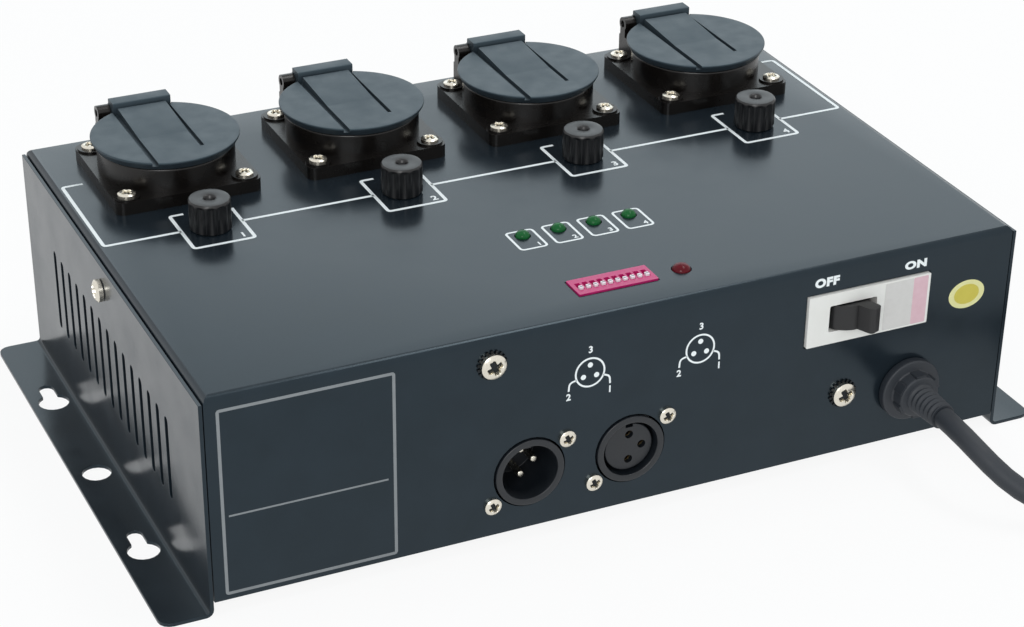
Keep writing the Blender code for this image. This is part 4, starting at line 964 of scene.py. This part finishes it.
# %% Address switch
WAYS, WAY_PITCH, WAY_SLOT_W, WAY_SLOT_D, WAY_DEPTH = 10, 0.00254, 0.0017, 0.0044, 0.0016
WAY_LEVER_W, WAY_LEVER_D = 0.0013, 0.0015
dip_low, dip_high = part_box("address_switch")
dip_at = middle("address_switch")
slots = [slab(WAY_SLOT_W, WAY_SLOT_D, 0.0002, (dip_at.x + (i - (WAYS - 1) / 2) * WAY_PITCH, dip_at.y), 3)
         for i in range(WAYS)]
rim = slab(dip_high.x - dip_low.x, dip_high.y - dip_low.y, 0.0004, (dip_at.x, dip_at.y), 4)
floor_z = dip_high.z - WAY_DEPTH
body = joined([punched([rim] + slots, floor_z, dip_high.z), pulled(rim, dip_low.z, floor_z - LIFT)])
make("address_switch_moulding", body, switch_red, "address_switch", bevel=0.00012)
for i in range(1, WAYS + 1):
    node = f"address_slider_{i}"
    low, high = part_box(node)
    at = middle(node)
    grip = pulled(slab(WAY_LEVER_W, WAY_LEVER_D, 0.0002, (at.x, at.y), 4), low.z, high.z)
    ridge = pulled(slab(WAY_LEVER_W * 0.9, WAY_LEVER_D * 0.3, 0.0001, (at.x, at.y), 3), high.z - 0.0001,
                   high.z)
    make(node + "_lever", joined([grip, ridge]), acetal, node, f"slider_{i}", bevel=0.0001)
print("address switch with", WAYS, "ways")

# %% [markdown]
# ## Breaker
#
# The breaker's face is a pale plate with a slot for its lever. The lever's drum shows through the slot
# and its grip leans to the right, towards ON. The plate is an outline punched with the slot. The
# lever is carved from a drum and a tapering grip while both stand upright, and is turned last.

# %% Breaker
FACE_W, FACE_H, BREAKER_X = 0.0450, 0.0180, 0.0847
PLATE_BACK, WALL_FRONT, WALL_BACK, BLOCK_FRONT = 0.0026, 0.00261, 0.01599, 0.0160
LEVER_X, LEVER_AXIS, LEVER_HUB_R, LEVER_SLOT_H = 0.0787, 0.0050, 0.0083, 0.0094
LEVER_TALL, LEVER_LEN, LEVER_T, LEVER_FLARE = 0.0086, 0.0135, 0.0045, 0.0007
LEVER_LEAN, GRIP_RIB_PITCH = 22.0, 0.0011
PAPER = 0.00006
face_low, face_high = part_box("breaker_body")
BREAKER_Z = (face_low.z + face_high.z) / 2
rim = slab(face_high.x - face_low.x, face_high.z - face_low.z, 0.001,
           ((face_low.x + face_high.x) / 2, BREAKER_Z))
face = slab(FACE_W, FACE_H, 0.0004, (BREAKER_X, BREAKER_Z))
lever_slot = slab(2 * (LEVER_HUB_R + 0.0004), LEVER_SLOT_H, 0.0006, (LEVER_X, BREAKER_Z), 3)
plate = punched([face, lever_slot], face_low.y, FRONT + PLATE_BACK, "Y")
walls = punched([rim, lever_slot], FRONT + WALL_FRONT, FRONT + WALL_BACK, "Y")
back_block = block((face_low.x, FRONT + BLOCK_FRONT, face_low.z), face_high)
make("breaker_moulding", joined([plate, walls, back_block]), breaker_plastic, "breaker_body", bevel=0.0002)
# The label on the plate beside the lever, and the band at its end
for name, low, high, finish in (("breaker_label", 0.0903, 0.1008, grey_paper),
                                ("breaker_label_band", 0.1009, 0.1063, pink_paper)):
    label = slab(high - low, FACE_H - 0.0012, 0.0003, ((low + high) / 2, BREAKER_Z), 3)
    make(name, pulled(label, face_low.y - PAPER, face_low.y - LIFT, "Y"), finish)

half_t, half_tall = LEVER_T / 2, LEVER_TALL / 2
drum = pulled(ring(LEVER_HUB_R, 72), -half_tall, half_tall)
grip = pulled(eased([(-half_t - LEVER_FLARE, 0.0), (-half_t, -LEVER_LEN), (half_t, -LEVER_LEN),
                     (half_t + LEVER_FLARE, 0.0)], 0.0014), -half_tall, half_tall)
ribs = [block((half_t - 0.0001, -LEVER_LEN + 0.0012 + GRIP_RIB_PITCH * i, -half_tall + 0.0008),
              (half_t + 0.00025, -LEVER_LEN + 0.0017 + GRIP_RIB_PITCH * i, half_tall - 0.0008))
        for i in range(3)]
leaning = Matrix.Rotation(math.radians(LEVER_LEAN), 4, "Z")
lever_place = Matrix.Translation((LEVER_X, FRONT + LEVER_AXIS, BREAKER_Z)) @ leaning
make("breaker_lever_moulding", placed(joined([carved(drum, [grip])] + ribs), lever_place), cap_resin,
     "breaker_lever", "lever", bevel=0.0003)
print("lever leans", LEVER_LEAN, "degrees to the right")

# %% [markdown]
# ## Data connectors
#
# The male inlet is a cup with three pins and a key along its roof. The female outlet is a ring with an
# insert of three holes. The cups are turned, the key is a block against the roof, and only the contact
# holes and the keyway are cut.

# %% Connectors
NOSE_R, NOSE_PROUD, CUP_R, CUP_DEPTH = 0.0119, 0.0008, 0.0094, 0.0165
PIN_R, PIN_LEN, PIN_CIRCLE, INSERT_R, CONTACT_R = 0.0012, 0.0102, 0.0045, 0.0083, 0.0014
PIN_ANGLES = [math.radians(angle) for angle in (0, 90, 270)]
jack_back = {name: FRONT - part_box(name)[1].y for name in jacks}


def jack_cup(reach):
    """The nose with its round cup, from the panel's front back to the body's end."""
    return turned(np.concatenate([
        [(0, reach), (NOSE_R - 0.0006, reach)],
        eased([(NOSE_R - 0.0006, -0.004), (NOSE_R - 0.0002, NOSE_PROUD), (CUP_R, NOSE_PROUD),
               (CUP_R, -CUP_DEPTH)], 0.0005), [(0, -CUP_DEPTH)]]), 96)


def at_contacts(shape):
    """A shape at each of the three contacts."""
    return [moved(shape, (PIN_CIRCLE * math.cos(angle), PIN_CIRCLE * math.sin(angle), 0))
            for angle in PIN_ANGLES]


inlet, outlet = "data_in_male", "data_out_female"
places = {name: on_panel(at.x, at.z) for name, at in jacks.items()}
key = block((-0.0011, CUP_R - 0.0016, -CUP_DEPTH - 0.001), (0.0011, CUP_R + 0.0006, -0.0012))
make("inlet_cup", placed(joined([jack_cup(jack_back[inlet]), key]), places[inlet]), connector_nylon, inlet,
     bevel=0.0002)
contact = rod(PIN_R, -CUP_DEPTH - 0.001, -CUP_DEPTH + PIN_LEN, 32, 0.0008)
make("inlet_pins", placed(joined(at_contacts(contact)), places[inlet]), nickel)
insert = turned(np.concatenate([[(0, -CUP_DEPTH - 0.0005), (INSERT_R, -CUP_DEPTH - 0.0005)],
                                eased([(INSERT_R, -0.003), (INSERT_R, -0.0010), (0, -0.0010)], 0.0004)]),
                72)
keyway = block((-0.0013, INSERT_R - 0.0012, -0.010), (0.0013, INSERT_R + 0.001, 0.001))
insert = carved(insert, cuts=at_contacts(rod(CONTACT_R, -0.011, 0.001)) + [keyway])
make("outlet_cup", placed(joined([jack_cup(jack_back[outlet]), insert]), places[outlet]), connector_nylon,
     outlet, bevel=0.0002)
liner = tube(CONTACT_R - 0.0001, CONTACT_R + 0.0001, -0.0105, -0.0030)
make("outlet_contacts", placed(joined(at_contacts(liner)), places[outlet]), brass)
print("connectors with", len(PIN_ANGLES), "contacts each")

# %% [markdown]
# ## Inside
#
# The board, the relays and the transformer are seen only through the openings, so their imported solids
# stay and only take a finish.

# %% Finishes inside
inside = {"control_board": board_mask, "transformer": zinc,
          **{f"relay_{k}": relay_blue for k in CHANNELS}}
for node, finish in inside.items():
    mesh = nodes[node].data
    mesh.materials.clear()
    mesh.materials.append(finish)
print("finished inside:", len(inside))

# %% [markdown]
# ## Printed marks
#
# The marks are screen printed: white lines a millimetre wide that tie each socket to its fuse and its
# number. A bump or an image could carry them. They are thin pieces of ink instead, a ribbon along each
# line, so that their edges stay sharp from any distance.

# %% Printing tools
MARK_W, THIN_MARK_W, INK = 0.0012, 0.0006, 0.00006


def on_top(path, width=MARK_W, closed=False):
    """A line printed on the top."""
    return ribbon(path, width, TOP + LIFT, TOP + INK, "Z", closed)


def on_front(path, width=MARK_W, closed=False):
    """A line printed on the front."""
    return ribbon(path, width, FRONT - INK, FRONT - LIFT, "Y", closed)


def letters(text, size, bold=0.0):
    """Plain words as a shape in XY about their middle, pulled as thick as the ink."""
    line = bpy.data.curves.new("words", "FONT")
    line.body, line.size, line.offset = text, size, bold
    line.align_x, line.align_y = "CENTER", "CENTER"
    line.resolution_u = 4
    line.extrude = (INK - LIFT) / 2
    line.space_character = 1.12
    item = linked("words", line)
    shape = evaluated(item)
    bpy.data.objects.remove(item)
    return shape


print("a printed digit has", len(letters("1", 0.008)[1]), "faces")

# %% Marks on the top
FRAME_FRONT_Y, FRAME_BACK_Y, FRAME_LEFT, FRAME_RIGHT = 0.0160, 0.0630, -0.1353, 0.1348
BOX_LEFT, BOX_RIGHT, BOX_FRONT, BOX_BACK = -0.0097, 0.0109, 0.0030, 0.0280
LED_BOX_W, LED_BOX_D, LED_BOX_Y = 0.0092, 0.0127, -0.0335
ROUND = 0.0012
STUB = 0.0070
marks = []
xs = {k: channel_at[k].x for k in CHANNELS}
for k in CHANNELS:
    x = xs[k]
    path = [(x - 0.0050, BOX_BACK), (x + BOX_LEFT, BOX_BACK), (x + BOX_LEFT, BOX_FRONT),
            (x + BOX_RIGHT, BOX_FRONT), (x + BOX_RIGHT, BOX_BACK - 0.0020)]
    marks.append(on_top(eased(path, ROUND)))
    led_x = middle(f"channel_led_{k}").x
    marks.append(on_top(slab(LED_BOX_W, LED_BOX_D, 0.0012, (led_x, LED_BOX_Y), 4), 0.0008, True))
    for size, digit_x, digit_y in ((0.0042, x + BOX_RIGHT - 0.0030, BOX_FRONT + 0.0032),
                                   (0.0030, led_x + LED_BOX_W / 2 - 0.0020, LED_BOX_Y - 0.0042)):
        marks.append(moved(letters(str(k), size, size / 30), (digit_x, digit_y, TOP + (INK + LIFT) / 2)))
for k in (1, 2, 3):
    marks.append(on_top([(xs[k] + BOX_RIGHT, FRAME_FRONT_Y), (xs[k + 1] + BOX_LEFT, FRAME_FRONT_Y)]))
marks.append(on_top(eased([(xs[1] + BOX_LEFT, FRAME_FRONT_Y), (FRAME_LEFT, FRAME_FRONT_Y),
                           (FRAME_LEFT, FRAME_BACK_Y), (FRAME_LEFT + STUB, FRAME_BACK_Y)], ROUND)))
marks.append(on_top(eased([(xs[4] + BOX_RIGHT, FRAME_FRONT_Y), (FRAME_RIGHT, FRAME_FRONT_Y),
                           (FRAME_RIGHT, FRAME_BACK_Y), (FRAME_RIGHT - STUB, FRAME_BACK_Y)], ROUND)))
make("top_marks", joined(marks), print_ink)
print("marks on the top:", len(marks))

# %% Marks on the front
LABEL = (-0.1339, 0.0072, -0.0791, 0.0705)
marks = []


def frame_of(x_low, z_low, x_high, z_high, radius=0.0012, width=MARK_W):
    """A closed printed frame on the front."""
    outline = slab(x_high - x_low, z_high - z_low, radius, ((x_low + x_high) / 2, (z_low + z_high) / 2), 4)
    return on_front(outline, width, True)


def word_on_front(text, x, z, height, bold, wide=1.0):
    """A word of some height about a place on the front, drawn out sideways by a share."""
    points, faces = letters(text, height, bold * height)
    points = points - (points.max(0) + points.min(0)) / 2
    points = points * (wide, 1.0, 1.0) * (height / np.ptp(points[:, 1]), height / np.ptp(points[:, 1]), 1.0)
    place = Matrix.Translation((x, FRONT - (INK + LIFT) / 2, z))
    return placed((points, faces), place @ TOWARDS_FRONT)


table = [frame_of(*LABEL, radius=0.0006, width=0.0010),
         on_front([(LABEL[0] + 0.0018, 0.0343), (LABEL[2] - 0.0022, 0.0343)], 0.0006)]
PIN_DIAGRAMS = [(-0.0142, 0.0560), (0.0241, 0.0557)]
CIRCLE_R, DOT_R, DOT_CIRCLE = 0.0049, 0.0009, 0.0026
LEADERS = [(-1, [(-0.0046, -0.0018), (-0.0070, -0.0024), (-0.0072, -0.0052)], (-0.0072, -0.0072), "2"),
           (1, [(0.0046, -0.0018), (0.0068, -0.0026), (0.0070, -0.0054)], (0.0070, -0.0074), "1")]
for centre in PIN_DIAGRAMS:
    centre = np.array(centre)
    marks.append(on_front(ring(CIRCLE_R, 48, centre), THIN_MARK_W, True))
    for angle in (90, 210, 330):
        angle = math.radians(angle)
        dot = centre + DOT_CIRCLE * np.array((math.cos(angle), math.sin(angle)))
        marks.append(pulled(ring(DOT_R, 16, dot), FRONT - INK, FRONT - LIFT, "Y"))
    for side, path, place, digit in LEADERS:
        marks.append(on_front(eased(centre + path, 0.0012), THIN_MARK_W))
        marks.append(word_on_front(digit, *(centre + place), 0.0024, 0.03))
    marks.append(word_on_front("3", *(centre + (0.0, 0.0080)), 0.0024, 0.03))
marks.append(word_on_front("OFF", 0.0688, 0.0697, 0.0033, 0.06, 1.15))
marks.append(word_on_front("ON", 0.1016, 0.0692, 0.0030, 0.06, 1.35))
make("front_marks", joined(marks), print_ink)
make("table_frame", joined(table), grey_ink)
OVAL_AT, OVAL_W, OVAL_H, OVAL_RIM, FIELD = (0.1225, 0.0540), 0.0136, 0.0102, 0.70, 0.00009
oval = ring(0.5, 64) * (OVAL_W, OVAL_H)
make("oval_label", pulled(oval + OVAL_AT, FRONT - INK, FRONT - LIFT, "Y"), pale_paper)
make("oval_label_field", pulled(oval * OVAL_RIM + OVAL_AT, FRONT - FIELD, FRONT - INK - LIFT, "Y"),
     label_paper)
print("marks on the front:", len(marks))

# %% [markdown]
# ## Floor and light
#
# The pack stands on a white sweep under soft light. The background could be a wall. The world is plain
# white instead, for the camera and in whatever mirrors it, and a soft grey as a source of light, so
# the paper stays clean and nothing is washed out. A large pale blue panel stands behind on the right,
# where the top and the lids mirror it: it gives them their sheen, and leaves the front dark. The slate
# colour of that sheen is partly the panel's and partly painted, by a slate specular tint in their finishes.

# %% Floor, world and lights
FLOOR_HALF = 3.0
WORLD_LEVEL = 0.62
PAPER_WHITE = 0.90


def seen_directly(tree, plain, lit, share=1.0):
    """Some share of plain white for the camera, in mirrors and through glass, and the lit shader
    otherwise."""
    path = add(tree, "LightPath")
    clear = add(tree, "Math", {"operation": "MAXIMUM"},
                {0: (path, "Is Camera Ray"), 1: (path, "Is Transmission Ray")})
    seen = add(tree, "Math", {"operation": "MAXIMUM"}, {0: (clear, 0), 1: (path, "Is Glossy Ray")})
    part = add(tree, "Math", {"operation": "MULTIPLY", 1: share}, {0: (seen, 0)})
    return add(tree, "MixShader", None, {0: (part, 0), 1: (lit, 0), 2: (plain, 0)})


scene = bpy.context.scene
world = bpy.data.worlds.new("studio")
world.use_nodes = True
world.node_tree.nodes.clear()
tree = world.node_tree
white = add(tree, "Background", {"Color": srgb("#ffffff"), "Strength": 1.0})
air = add(tree, "Background", {"Color": srgb("#e6f1f6"), "Strength": WORLD_LEVEL})
add(tree, "OutputWorld", None, {"Surface": (seen_directly(tree, white, air), 0)})
scene.world = world

sweep, tree = blank("white_paper_sweep")
place = add(tree, "TexCoord")
fibre = add(tree, "TexNoise", {"Scale": per_mm(2.5), "Detail": 3.0}, {"Vector": (place, "Object")})
tone = add(tree, "Mix", {"data_type": "RGBA", 6: srgb("#f6f7f7"), 7: srgb("#fcfcfc")}, {0: (fibre, 0)})
paper = add(tree, "BsdfPrincipled", {"Roughness": 0.9, "Specular IOR Level": 0.1}, {"Base Color": (tone, 2)})
clean = add(tree, "Emission", {"Color": srgb("#ffffff"), "Strength": 1.0})
add(tree, "OutputMaterial", None, {"Surface": (seen_directly(tree, clean, paper, PAPER_WHITE), 0)})
floor_shape = block((-FLOOR_HALF, -FLOOR_HALF, -0.02), (FLOOR_HALF, FLOOR_HALF, 0.0))
floor = linked("floor", mesh_of("floor", floor_shape))
floor.data.materials.append(sweep)

LIGHTS = {"behind": ((0.78, 1.62, 1.04), (2.4, 1.5), 8.0, "#d6f0fb"),
          "above": ((0.62, -0.05, 1.65), (1.0, 0.35), 6.0, "#ffffff"),
          "front": ((-0.90, -1.50, 1.10), (0.8, 0.8), 14.0, "#ffffff")}
for name, (place, size, power, colour) in LIGHTS.items():
    panel = bpy.data.lights.new(name, "AREA")
    panel.shape, panel.size, panel.size_y = "RECTANGLE", *size
    panel.energy, panel.color = power, srgb(colour)[:3]
    lamp = linked(name, panel)
    lamp.location = place
    lamp.rotation_euler = (Vector((0, 0, 0.04)) - Vector(place)).to_track_quat("-Z", "Y").to_euler()
scene.view_settings.view_transform = "Standard"
print("lights:", ", ".join(LIGHTS))
